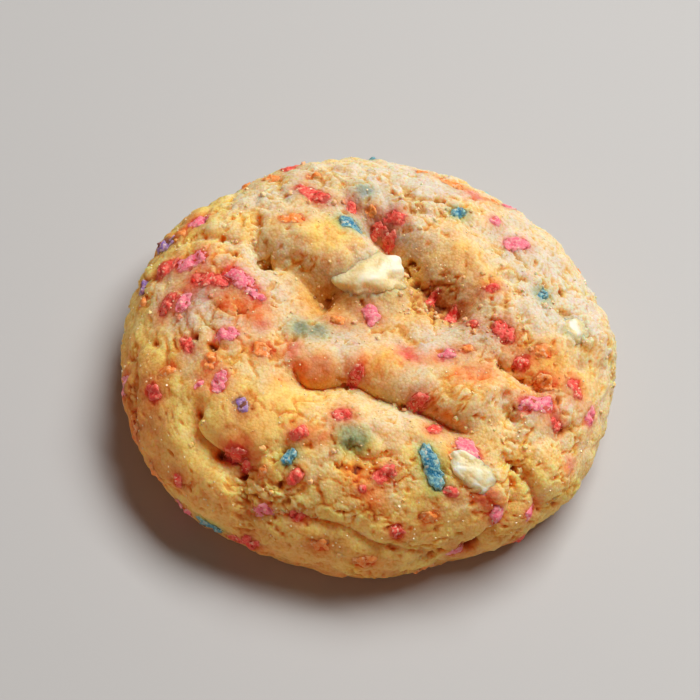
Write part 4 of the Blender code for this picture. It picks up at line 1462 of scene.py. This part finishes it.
    def laps(self, across: np.ndarray, along: np.ndarray, points: np.ndarray) -> np.ndarray:
        """How far the dough climbs the white chips' sides, in ragged tongues.

        Args:
            across: the places' distances to the right of the crown.
            along: their distances away from the crown.
            points: the points of the baked skin there.

        Returns:
            The rise of each place.
        """
        rise = np.zeros_like(across)
        tongues = noise_at(points, 1.6, Pattern.LAP_TONGUES)
        nicks = noise_at(points, 0.7, Pattern.LAP_NICKS)
        ragged = (0.6 + 1.1 * tongues + 0.6 * nicks).clip(0.0)
        for chip in WHITE_CHIPS:
            turn = math.radians(chip.heading)
            east, north = across - chip.across, along - chip.along
            forward = (east * math.cos(turn) + north * math.sin(turn)) / (self.lap_line * chip.length)
            beside = (north * math.cos(turn) - east * math.sin(turn)) / (self.lap_line * chip.width)
            apart = (np.hypot(forward, beside) - 1.0) * self.lap_line / 2.0 * (chip.length + chip.width)
            rise += self.lap_height * np.exp(-((apart / self.lap_reach) ** 2)) * ragged
        return rise

    def bake(self, across: np.ndarray, along: np.ndarray, points: np.ndarray) -> np.ndarray:
        """How brown each place baked: 0 cream, about a half golden, 1 crust.

        Args:
            across: the places' distances to the right of the crown.
            along: their distances away from the crown.
            points: the points of the baked skin there.

        Returns:
            The browning of each place.
        """
        reach = np.hypot(across, along)
        brown = self.bake_level + 0.18 * noise_at(points, 6.0, Pattern.BROWNING)
        brown += 0.12 * noise_at(points, 1.8, Pattern.BROWN_SPECKS)
        # Painted shade: the belly is painted browner on the side turned from the key light
        turned_from_light = 0.6 - 0.4 * np.cos(np.arctan2(along, across) - math.radians(self.lit_side))
        # Browner toward the front: partly baking, partly painted shade on the side turned from the key light
        front = self.front_bake_and_shade.amount * self.front_bake_and_shade.share(-along)
        brown += front + self.belly_bake_and_shade.amount * turned_from_light * self.belly_bake_and_shade.share(reach)
        brown += self.foot_bake.amount * self.foot_bake.share(reach)
        # Golden spots: partly real browning, partly painted shade on banks turned from the key light
        for spot in self.golden:
            brown += spot.amount * spot.strength(across, along)
        for spot in self.pale:
            brown -= spot.amount * spot.strength(across, along)
        return np.clip(brown, 0.0, 1.0)

    def dye(
        self, across: np.ndarray, along: np.ndarray, points: np.ndarray, sprinkles: list[Sprinkle]
    ) -> np.ndarray:
        """What the sprinkles' dye, and painted shade in the basin and the right valley, do to the dough's
        colour at each place: white leaves it as it is.

        Args:
            across: the places' distances to the right of the crown.
            along: their distances away from the crown.
            points: the points of the baked skin there.
            sprinkles: all the cookie's sprinkles.

        Returns:
            Red, green, blue and alpha for each place.
        """
        dye = np.ones((len(across), 4))
        tongues = noise_at(points, 1.1, Pattern.DYE_TONGUES)
        ragged = tongues + 0.6 * noise_at(points, 0.45, Pattern.DYE_SPECKS)
        patchy = 0.3 + 1.4 * ease(0.5 + 1.1 * ragged)
        # Blushes: dye round sprinkles, and painted shade in the basin and the right valley
        for spot, tint in self.dye_and_shade_blushes:
            strength = spot.amount * spot.strength(across, along) * patchy
            dye[:, :3] *= 1.0 - strength[:, None] * (1.0 - np.array(linear(tint)[:3]))
        for sprinkle in sprinkles:
            turn = math.radians(sprinkle.heading)
            girth = sprinkle.girth()
            half = Vector((math.cos(turn), math.sin(turn))) * max(sprinkle.length - girth, 0.2) / 2.0
            middle = Vector((sprinkle.across, sprinkle.along))
            reach = sprinkle.length / 2.0 + self.dye_reach * 3.0
            near = np.hypot(across - middle.x, along - middle.y) < reach
            path = SkinPath((tuple(middle - half), tuple(middle + half)))
            distance = path.measure(across[near], along[near])[0]
            outside = distance - girth * self.stain_share + 0.55 * ragged[near]
            run = np.exp(-((np.maximum(outside, 0.0) / self.dye_reach) ** 2))
            halo = self.halo * run * (0.9 + 0.6 * ragged[near])
            soaked = ease(-outside / 0.4) * (0.85 if sprinkle.lift > -0.3 else 0.35)
            tint = np.array(linear(sprinkle.colour.dye)[:3])
            sugar = np.array(linear(sprinkle.colour.bare)[:3])
            dye[near, :3] *= 1.0 - halo.clip(0.0, 1.0)[:, None] * (1.0 - tint)
            dye[near, :3] *= 1.0 - soaked[:, None] * (1.0 - sugar)
        return dye

    def build(self, sprinkles: list[Sprinkle]) -> bpy.types.Object:
        """Builds the dough and paints its bake, relief and dye, with painted shade in its hollows and painted
        highlight on its lumps' tops.

        Args:
            sprinkles: all the cookie's sprinkles.

        Returns:
            The dough.
        """
        dough, across, along = self.ball()
        macro = self.form.baked_skin(across, along)
        set_coordinates(dough.data, macro)
        rise = self.crumb(across, along, macro) * self.form.fade(across, along)
        lift = rise + self.laps(across, along, macro)
        set_coordinates(dough.data, macro + point_normals(dough.data) * lift[:, None])
        # Painted shade: the form's folds and hollows are darkened through the relief
        deep = self.shaded.share(-self.form.relief(across, along)[0])
        relief = np.clip(SKIN_LEVEL - rise / self.relief_height + self.shaded.amount * deep, 0.0, 1.0)
        # Painted shade and highlight: hollows are painted browner and lumps' tops paler
        baked = self.bake(across, along, macro) + 0.5 * (relief - SKIN_LEVEL)
        paint(dough.data, "bake", baked.clip(0.0, 1.0))
        paint(dough.data, "relief", relief)
        paint(dough.data, "dye", self.dye(across, along, macro, sprinkles))
        return dress(dough, BakedDough().material())


@dataclass
class Resting:
    """Finds where something lies on the dough.

    Attributes:
        form: the baked form.
        tree: the dough's surface.
        reach: how far above a place the surface is looked for; below it, three times as far.
        step: the distance over which the skin's directions are measured.
    """

    form: CookieForm
    tree: BVHTree
    reach: float = 2.5
    step: float = 0.6

    def frame(self, across: float, along: float, heading: float) -> tuple[Vector, Vector, Vector, Vector]:
        """The surface at a place, for something that lies there.

        Args:
            across: the place's distance to the right of the crown.
            along: its distance away from the crown.
            heading: the way the thing lies, in degrees.

        Returns:
            The point, in millimetres, and the directions along, beside and out of the surface.
        """
        places = np.array([(across, along), (across + self.step, along), (across, along + self.step)])
        here, east, north = self.form.baked_skin(places[:, 0], places[:, 1])
        outward = Vector(self.form.normals(np.array([across]), np.array([along]))[0])
        turn = math.radians(heading)
        forward = Vector(math.cos(turn) * (east - here) + math.sin(turn) * (north - here))
        forward = (forward - outward * forward.dot(outward)).normalized()
        return Vector(here), forward, outward.cross(forward), outward

    def drop(self, place: Vector, outward: Vector) -> Vector:
        """Where something pressed straight onto the dough at a place comes to lie, in millimetres.

        Args:
            place: the place.
            outward: the direction out of the dough.

        Returns:
            The point on the dough.
        """
        start = (place + outward * self.reach) * MM
        found = self.tree.ray_cast(start, -outward, 4.0 * self.reach * MM)[0]
        return place if found is None else found / MM


@dataclass
class SprinkleKind:
    """All the sprinkles of one colour, as one piece.

    Attributes:
        colour: their colour.
        proud: how far their middle stands out of the dough.
        edge: how far their edge lies under it.
        root: how deep they reach into it, as a share of their girth.
        blunt: how blunt their ends are.
        rim: how wide the melted rim is, as a share of their girth.
        ragged: how far their outline wanders, as a share of their girth.
        bay: the size of the outline's bays.
        nick: the size of the nicks between them.
        nick_share: how deep the nicks are, compared with the bays.
        knob: the size of the knobs on them.
        knob_height: how far the knobs stand up.
        knob_level: how much of their face is knobs, more than half where over 0.
    """

    colour: Colour
    proud: float = 0.14
    edge: float = 0.28
    root: float = 0.8
    blunt: int = 3
    rim: float = 0.45
    ragged: float = 0.4
    bay: float = 1.1
    nick: float = 0.5
    nick_share: float = 0.6
    knob: float = 0.85
    knob_height: float = 0.5
    knob_level: float = 0.2

    def rod(self) -> tuple[bpy.types.Mesh, np.ndarray]:
        """A blunt rod one long and one thick, lying along Z, which every sprinkle is copied from.

        Returns:
            Its mesh, and its points in lengths and girths.
        """
        mesh, ball = start_model("uv_sphere_add", "sprinkle_rod", segments=16, ring_count=18, radius=1.0)
        reach = np.arcsin(ball[:, 2].clip(-1.0, 1.0)) / (math.pi / 2.0)
        round_by = np.hypot(ball[:, 0], ball[:, 1]).clip(1e-6)
        thick = np.sqrt(1.0 - np.abs(reach) ** self.blunt) / round_by / 2.0
        unit = np.stack((ball[:, 0] * thick, ball[:, 1] * thick, reach / 2.0), -1)
        set_coordinates(mesh, unit)
        paint(mesh, "rim", ease((0.5 - unit[:, 1]) / self.rim))
        return mesh, coordinates(mesh)

    def one(self, sprinkle: Sprinkle, rod: np.ndarray, resting: Resting) -> np.ndarray:
        """One sprinkle's points: the rod stretched, made knobbly and pressed into the skin.

        Args:
            sprinkle: the sprinkle.
            rod: the rod's points.
            resting: finds where things lie on the dough.

        Returns:
            The points, in millimetres.
        """
        here, forward, beside, outward = resting.frame(sprinkle.across, sprinkle.along, sprinkle.heading)
        girth = sprinkle.girth()
        seed = Vector((sprinkle.across, sprinkle.along, 0.0))
        points = []
        for x, y, z in rod:
            body = Vector((x * girth, y * girth, z * sprinkle.length))
            bays = noise.noise(body / self.bay + seed)
            nicks = noise.noise(body / self.nick - seed)
            flat = body * (1.0 + self.ragged * (bays + self.nick_share * nicks))
            under = resting.drop(here + forward * flat.z + beside * flat.x, outward)
            lump = self.knob_height * (noise.noise(body / self.knob + seed * 2.0) + self.knob_level)
            top = max(2.0 * y, 0.0)
            rise = math.sqrt(top) * (self.proud + sprinkle.lift + lump) + min(y, 0.0) * girth * self.root
            points.append(under + outward * (rise - self.edge * (1.0 - top)))
        return np.array(points)

    def build(self, sprinkles: list[Sprinkle], resting: Resting) -> bpy.types.Object:
        """Builds this colour's sprinkles as one joined piece.

        Args:
            sprinkles: all the cookie's sprinkles.
            resting: finds where things lie on the dough.

        Returns:
            The piece.
        """
        mesh, rod = self.rod()
        forms = [self.one(sprinkle, rod, resting) for sprinkle in sprinkles if sprinkle.colour is self.colour]
        piece = join_copies(mesh, forms, f"sprinkles_{self.colour.name.lower()}")
        return dress(piece, SprinkleSugar(self.colour).material())


@dataclass(frozen=True)
class WhiteChip:
    """A white chip that shows in the dough.

    Attributes:
        node: the solid it stands for.
        across: its place to the right of the crown.
        along: its place away from the crown.
        heading: the way it lies, in degrees.
        length: its length.
        width: its width.
        height: its height.
        proud: how far it stands out of the dough.
        roll: how far its far side is tipped up, in degrees.
        knobs: how knobbly it is.
        blunt: how rounded it is: 1 a round lump, less a chunk with flat faces.
        slump: how far its softened form wanders, and in how many waves over the chip.
        dents: how deep its small dents are, and how many.
        shrink: its size without them, as a share of length, width and height.
    """

    node: str
    across: float
    along: float
    heading: float
    length: float
    width: float
    height: float
    proud: float
    roll: float = 0.0
    knobs: float = 0.8
    blunt: float = 0.9
    slump: Place = (0.34, 1.5)
    dents: Place = (0.10, 3.6)
    shrink: float = 0.97

    def softened(self, unit: Vector) -> Vector:
        """Turns a point of a ball of radius 1 into one of a slumped lump with a few soft knobs and dents.

        Args:
            unit: the ball's point.

        Returns:
            The lump's point, for half sizes of 1.
        """
        seed = Vector((self.across, self.along, 0.0))
        slump = self.slump[0] * noise.noise(unit * self.slump[1] + seed)
        size = self.shrink + self.knobs * (slump + self.dents[0] * noise.noise(unit * self.dents[1] - seed))
        return Vector([math.copysign(abs(reach) ** self.blunt, reach) * size for reach in unit])

    def build(self, resting: Resting, finish: bpy.types.Material) -> bpy.types.Object:
        """Builds the chip with its softened surface, and paints how deep in the dough it is, which its finish
        shows as painted shade low down and painted highlight on top.

        Args:
            resting: finds where things lie on the dough.
            finish: the chips' material.

        Returns:
            The chip.
        """
        chip = start_primitive("ico_sphere_add", f"{self.node}_melted", subdivisions=6, radius=1.0)
        here, forward, beside, outward = resting.frame(self.across, self.along, self.heading)
        centre = here + outward * (self.proud - self.height / 2.0)
        tip = Matrix.Rotation(math.radians(self.roll), 3, "X")
        turned = Matrix((forward, beside, outward)).transposed() @ tip
        half = Vector((self.length, self.width, self.height)) / 2.0
        points = []
        above = []
        for unit in coordinates(chip.data) * MM:
            point = centre + turned @ Vector(map(math.prod, zip(self.softened(Vector(unit)), half)))
            points.append(point)
            above.append((point - resting.drop(point, outward)).dot(outward))
        set_coordinates(chip.data, np.array(points))
        # Painted shade and highlight: how deep each point sits, for golden low down and ivory on top
        paint(chip.data, "sunk", 1.0 - ease(np.array(above) / max(above)))
        return dress(chip, finish)


WHITE_CHIPS = (
    WhiteChip("white_chip_middle", -1.8, 9.0, 20.0, 11.0, 8.2, 6.2, 1.7),
    WhiteChip("white_chip_front", 18.6, -23.4, -14.0, 9.0, 4.6, 4.0, 0.42, -9.0, 0.5, 0.7),
    WhiteChip("white_chip_side", 31.0, 5.2, 20.0, 7.4, 4.8, 3.8, 0.4, 0.0, 0.6),
)


@dataclass
class Crumbs:
    """Crumbs of dough that cling to the skin, thickest in the valleys and where it is craggy.

    Attributes:
        tries: how many places are drawn.
        sizes: the smallest and the largest crumb.
        fineness: how much commoner the small ones are.
        thick: where they lie thick.
        share: how likely a drawn place is kept elsewhere.
        rim: the distance from the crown past which half of them fell off.
        bare: how far from the foot the last ones lie.
        sunk: how far a crumb's middle stands over the dough, as a share of its size.
        knob: how knobbly a crumb is, and in how many waves.
        shade: the relief painted on a crumb's top, and how much more toward its underside, as painted shade
            where it sits on the dough.
        seed: which draw it is.
    """

    tries: int = 2600
    sizes: tuple[float, float] = (0.35, 1.0)
    fineness: float = 2.5
    thick: tuple[Spot, ...] = (
        Spot(7.5, 5.0, 4.5, 0.9), Spot(3.5, 10.5, 3.0, 0.6), Spot(15.0, 0.5, 4.0, 0.6),
        Spot(-14.5, -32.0, 3.5, 0.9), Spot(-24.0, 14.0, 9.0, 0.3), Spot(23.0, 10.0, 10.0, 0.3),
        Spot(18.0, -14.0, 4.0, 0.5), Spot(24.0, -17.0, 5.0, 0.4), Spot(4.0, -25.5, 5.0, 0.4),
        Spot(-8.0, 5.5, 3.5, 0.4), Spot(27.0, -5.0, 4.0, 0.4), Spot(3.0, -12.5, 1.8, 0.8),
        Spot(8.5, -14.0, 1.8, 0.8), Spot(14.0, -15.8, 2.2, 0.8),
    )
    share: float = 0.09
    rim: float = 30.0
    bare: float = 3.0
    sunk: float = 0.04
    knob: Place = (0.9, 3.0)
    shade: Place = (0.1, 0.4)
    seed: int = 23

    def places(self, form: CookieForm) -> np.ndarray:
        """Draws the crumbs' places: across, along and size for each.

        Args:
            form: the baked form.

        Returns:
            A row of across, along and size for each crumb.
        """
        draw = random.Random(self.seed)
        reach = form.profile()[3] - self.bare
        kept = []
        for _ in range(self.tries):
            walked = reach * math.sqrt(draw.random())
            turn = draw.uniform(0.0, 2.0 * math.pi)
            size = self.sizes[0] + (self.sizes[1] - self.sizes[0]) * draw.random() ** self.fineness
            chance = draw.random()
            across, along = walked * math.cos(turn), walked * math.sin(turn)
            likely = self.share + sum(spot.amount * spot.strength(across, along) for spot in self.thick)
            if chance < likely * (0.5 if walked > self.rim else 1.0):
                kept.append((across, along, size))
        return np.array(kept)

    def build(self, dough: Dough, sprinkles: list[Sprinkle], resting: Resting) -> bpy.types.Object:
        """Builds the crumbs as one piece with the dough's colours painted on it, and painted shade under
        each.

        Args:
            dough: the dough.
            sprinkles: all the cookie's sprinkles.
            resting: finds where things lie on the dough.

        Returns:
            The piece.
        """
        model, unit = start_model("ico_sphere_add", "dough_crumb", subdivisions=2, radius=0.5)
        across, along, sizes = self.places(dough.form).T
        macro = dough.form.baked_skin(across, along)
        outwards = dough.form.normals(across, along)
        knob, waves = self.knob
        forms = []
        for number, (place, outward, size) in enumerate(zip(macro, outwards, sizes)):
            outward = Vector(outward)
            centre = resting.drop(Vector(place), outward) + outward * size * self.sunk
            seed = Vector((number * 3.7, 0.0, 0.0))
            ways = [Vector(way) for way in unit]
            lumps = [1.0 + knob * noise.noise(way * waves + seed) for way in ways]
            forms.append(np.array([centre + way * size * lump for way, lump in zip(ways, lumps)]))
        piece = join_copies(model, forms, "dough_crumbs")
        # Painted shade: a crumb's underside is painted darker through its relief
        low = np.concatenate([0.5 - unit @ outward for outward in outwards])
        baked = dough.bake(across, along, macro)
        dyed = dough.dye(across, along, macro, sprinkles)
        paint(piece.data, "bake", np.repeat(baked, len(unit)))
        paint(piece.data, "relief", np.clip(self.shade[0] + self.shade[1] * low, 0.0, 1.0))
        paint(piece.data, "dye", np.repeat(dyed, len(unit), axis=0))
        finish = BakedDough("baked_dough_crumb", "#F8E8CC", "#FFE09A", scatter_depth=0.35)
        return dress(piece, finish.material())


@dataclass
class SugarGrains:
    """Grains of sugar that glint on the skin.

    Attributes:
        count: how many there are.
        sizes: the smallest and the largest.
        reach: how far from the crown they lie.
        sunk: how far a grain's middle stands over the dough, as a share of its size.
        seed: which draw it is.
    """

    count: int = 700
    sizes: tuple[float, float] = (0.15, 0.26)
    reach: float = 41.0
    sunk: float = 0.06
    seed: int = 31

    def build(self, form: CookieForm, resting: Resting) -> bpy.types.Object:
        """Builds the grains as one piece: small cubes, turned every way and half pressed in.

        Args:
            form: the baked form.
            resting: finds where things lie on the dough.

        Returns:
            The piece.
        """
        model, corners = start_model("cube_add", "sugar_grain", size=1.0)
        unit = [Vector(corner) for corner in corners]
        draw = random.Random(self.seed)
        walked = np.array([self.reach * math.sqrt(draw.random()) for _ in range(self.count)])
        turn = np.array([draw.uniform(0.0, 2.0 * math.pi) for _ in range(self.count)])
        across, along = walked * np.cos(turn), walked * np.sin(turn)
        forms = []
        for place, outward in zip(form.baked_skin(across, along), form.normals(across, along)):
            outward = Vector(outward)
            size = draw.uniform(*self.sizes)
            angle = draw.uniform(0.0, 3.0)
            spin = Matrix.Rotation(angle, 3, Vector([draw.uniform(-1.0, 1.0) for _ in range(3)]))
            centre = resting.drop(Vector(place), outward) + outward * size * self.sunk
            forms.append(np.array([centre + spin @ corner * size for corner in unit]))
        return dress(join_copies(model, forms, "sugar_grains"), GrainSugar().material(), smooth=False)


# ---------------------------------------------------------------- the studio


@dataclass
class Studio:
    """The floor, lights and camera.

    Attributes:
        elevation: the camera's angle above the table, in degrees.
        roll: the picture's turn, in degrees.
        distance: how far the camera stands from the cookie, in metres.
        pixels_per_mm: the picture's scale at the cookie.
        base_pixel: where the middle of the cookie's sole shows in the picture.
        key_direction: the main light's angle round the cookie and above the table, in degrees.
        key_size: its width and height, in metres.
        key_reach: its distance, in metres.
        key_power: its power, in watts.
        key_tint: its colour.
        bounces: each low light's direction and power, in place of light that comes back from the table.
        bounce_size: their width and height, in metres.
        bounce_reach: their distance, in metres.
        bounce_tint: their colour.
        room_tint: the colour of the light from all round.
        room_strength: how strong it is.
        floor_side: the floor's side, in metres.
        sensor: the camera's sensor, in millimetres.
    """

    elevation: float = 60.3
    roll: float = 8.6
    distance: float = 0.5
    pixels_per_mm: float = 6.36
    base_pixel: Place = (364.4, 384.9)
    key_direction: Place = (56.0, 58.0)
    key_size: Place = (0.85, 0.5)
    key_reach: float = 1.2
    key_power: float = 17.4
    key_tint: str = "#FFFDF8"
    bounces: tuple[tuple[Place, float], ...] = (((222.0, 5.0), 1.7), ((312.0, 6.0), 0.8))
    bounce_size: Place = (0.8, 0.12)
    bounce_reach: float = 0.9
    bounce_tint: str = "#FFE4C8"
    room_tint: str = "#FFD4BC"
    room_strength: float = 0.095
    floor_side: float = 3.0
    sensor: float = 36.0

    def camera(self) -> None:
        """Adds the camera at the picture's angle, framed as the picture is."""
        rise = math.radians(self.elevation)
        turn = math.radians(self.roll)
        level = Vector((1.0, 0.0, 0.0))
        above = Vector((0.0, math.sin(rise), math.cos(rise)))
        back = Vector((0.0, -math.cos(rise), math.sin(rise)))
        right = level * math.cos(turn) + above * math.sin(turn)
        up = above * math.cos(turn) - level * math.sin(turn)
        middle = PHOTO_PIXELS / 2.0
        aside = (middle - self.base_pixel[0]) / self.pixels_per_mm * MM
        over = (self.base_pixel[1] - middle) / self.pixels_per_mm * MM
        lens = bpy.data.cameras.new("camera")
        lens.sensor_width = self.sensor
        lens.lens = self.pixels_per_mm / MM * self.distance / PHOTO_PIXELS * self.sensor
        lens.clip_start = 0.01
        camera = bpy.data.objects.new("camera", lens)
        bpy.context.scene.collection.objects.link(camera)
        place = back * self.distance + right * aside + up * over
        camera.matrix_world = Matrix.Translation(place) @ Matrix((right, up, back)).transposed().to_4x4()
        bpy.context.scene.camera = camera

    def lamp(self, name: str, direction: Place, reach: float, size: Place, power: float, tint: str) -> None:
        """Adds a soft light that faces the cookie.

        Args:
            name: the light's name.
            direction: its angle round the cookie from X and above the table, in degrees.
            reach: its distance, in metres.
            size: its width and height, in metres.
            power: its power, in watts.
            tint: its colour.
        """
        turn, up = (math.radians(angle) for angle in direction)
        toward = Vector((math.cos(up) * math.cos(turn), math.cos(up) * math.sin(turn), math.sin(up)))
        glow = bpy.data.lights.new(name, "AREA")
        glow.shape = "RECTANGLE"
        glow.size, glow.size_y = size
        glow.energy = power
        glow.color = linear(tint)[:3]
        lamp = bpy.data.objects.new(name, glow)
        bpy.context.scene.collection.objects.link(lamp)
        lamp.location = toward * reach
        lamp.rotation_euler = toward.to_track_quat("Z", "Y").to_euler()

    def build(self) -> None:
        """Sets up the floor, the lights and the camera."""
        floor = start_primitive("plane_add", "floor", size=self.floor_side)
        dress(floor, PaleFloor().material(), smooth=False)
        self.lamp("key", self.key_direction, self.key_reach, self.key_size, self.key_power, self.key_tint)
        for number, (direction, power) in enumerate(self.bounces, 1):
            name = f"bounce_{number}"
            self.lamp(name, direction, self.bounce_reach, self.bounce_size, power, self.bounce_tint)
        world = bpy.data.worlds.new("soft_room")
        bpy.context.scene.world = world
        world.use_nodes = True
        sky = {"Color": linear(self.room_tint), "Strength": self.room_strength}
        fill(world.node_tree.nodes["Background"], sky)
        bpy.context.scene.view_settings.view_transform = "Standard"
        self.camera()


# ---------------------------------------------------------------- the whole cookie


def own(piece: bpy.types.Object, slot: str, *nodes: str) -> bpy.types.Object:
    """Ties a piece to the cookie's body and hides the solids that it stands for.

    Args:
        piece: the piece.
        slot: not used.
        nodes: the solids that it stands for.

    Returns:
        The piece.
    """
    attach(piece, "root")
    if nodes:
        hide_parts(*nodes)
    log.info("%s: %d points", piece.name, len(piece.data.vertices))
    return piece


def main() -> None:
    """Sets up the studio, then builds the cookie's pieces in order."""
    logging.basicConfig(level=logging.INFO, format="%(name)s: %(message)s")
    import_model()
    noise.seed_set(NOISE_SEED)
    Studio().build()
    sprinkles = all_sprinkles()
    dough = Dough()
    body = own(dough.build(sprinkles), "cookie", "cookie")
    resting = Resting(dough.form, BVHTree.FromObject(body, bpy.context.evaluated_depsgraph_get()))
    for colour in Colour:
        own(SprinkleKind(colour).build(sprinkles, resting), "cookie")
    own(Crumbs().build(dough, sprinkles, resting), "cookie")
    own(SugarGrains().build(dough.form, resting), "cookie")
    finish = WhiteChocolate().material()
    for chip in WHITE_CHIPS:
        own(chip.build(resting, finish), "white_chip", chip.node)


if __name__ == "__main__":
    main()
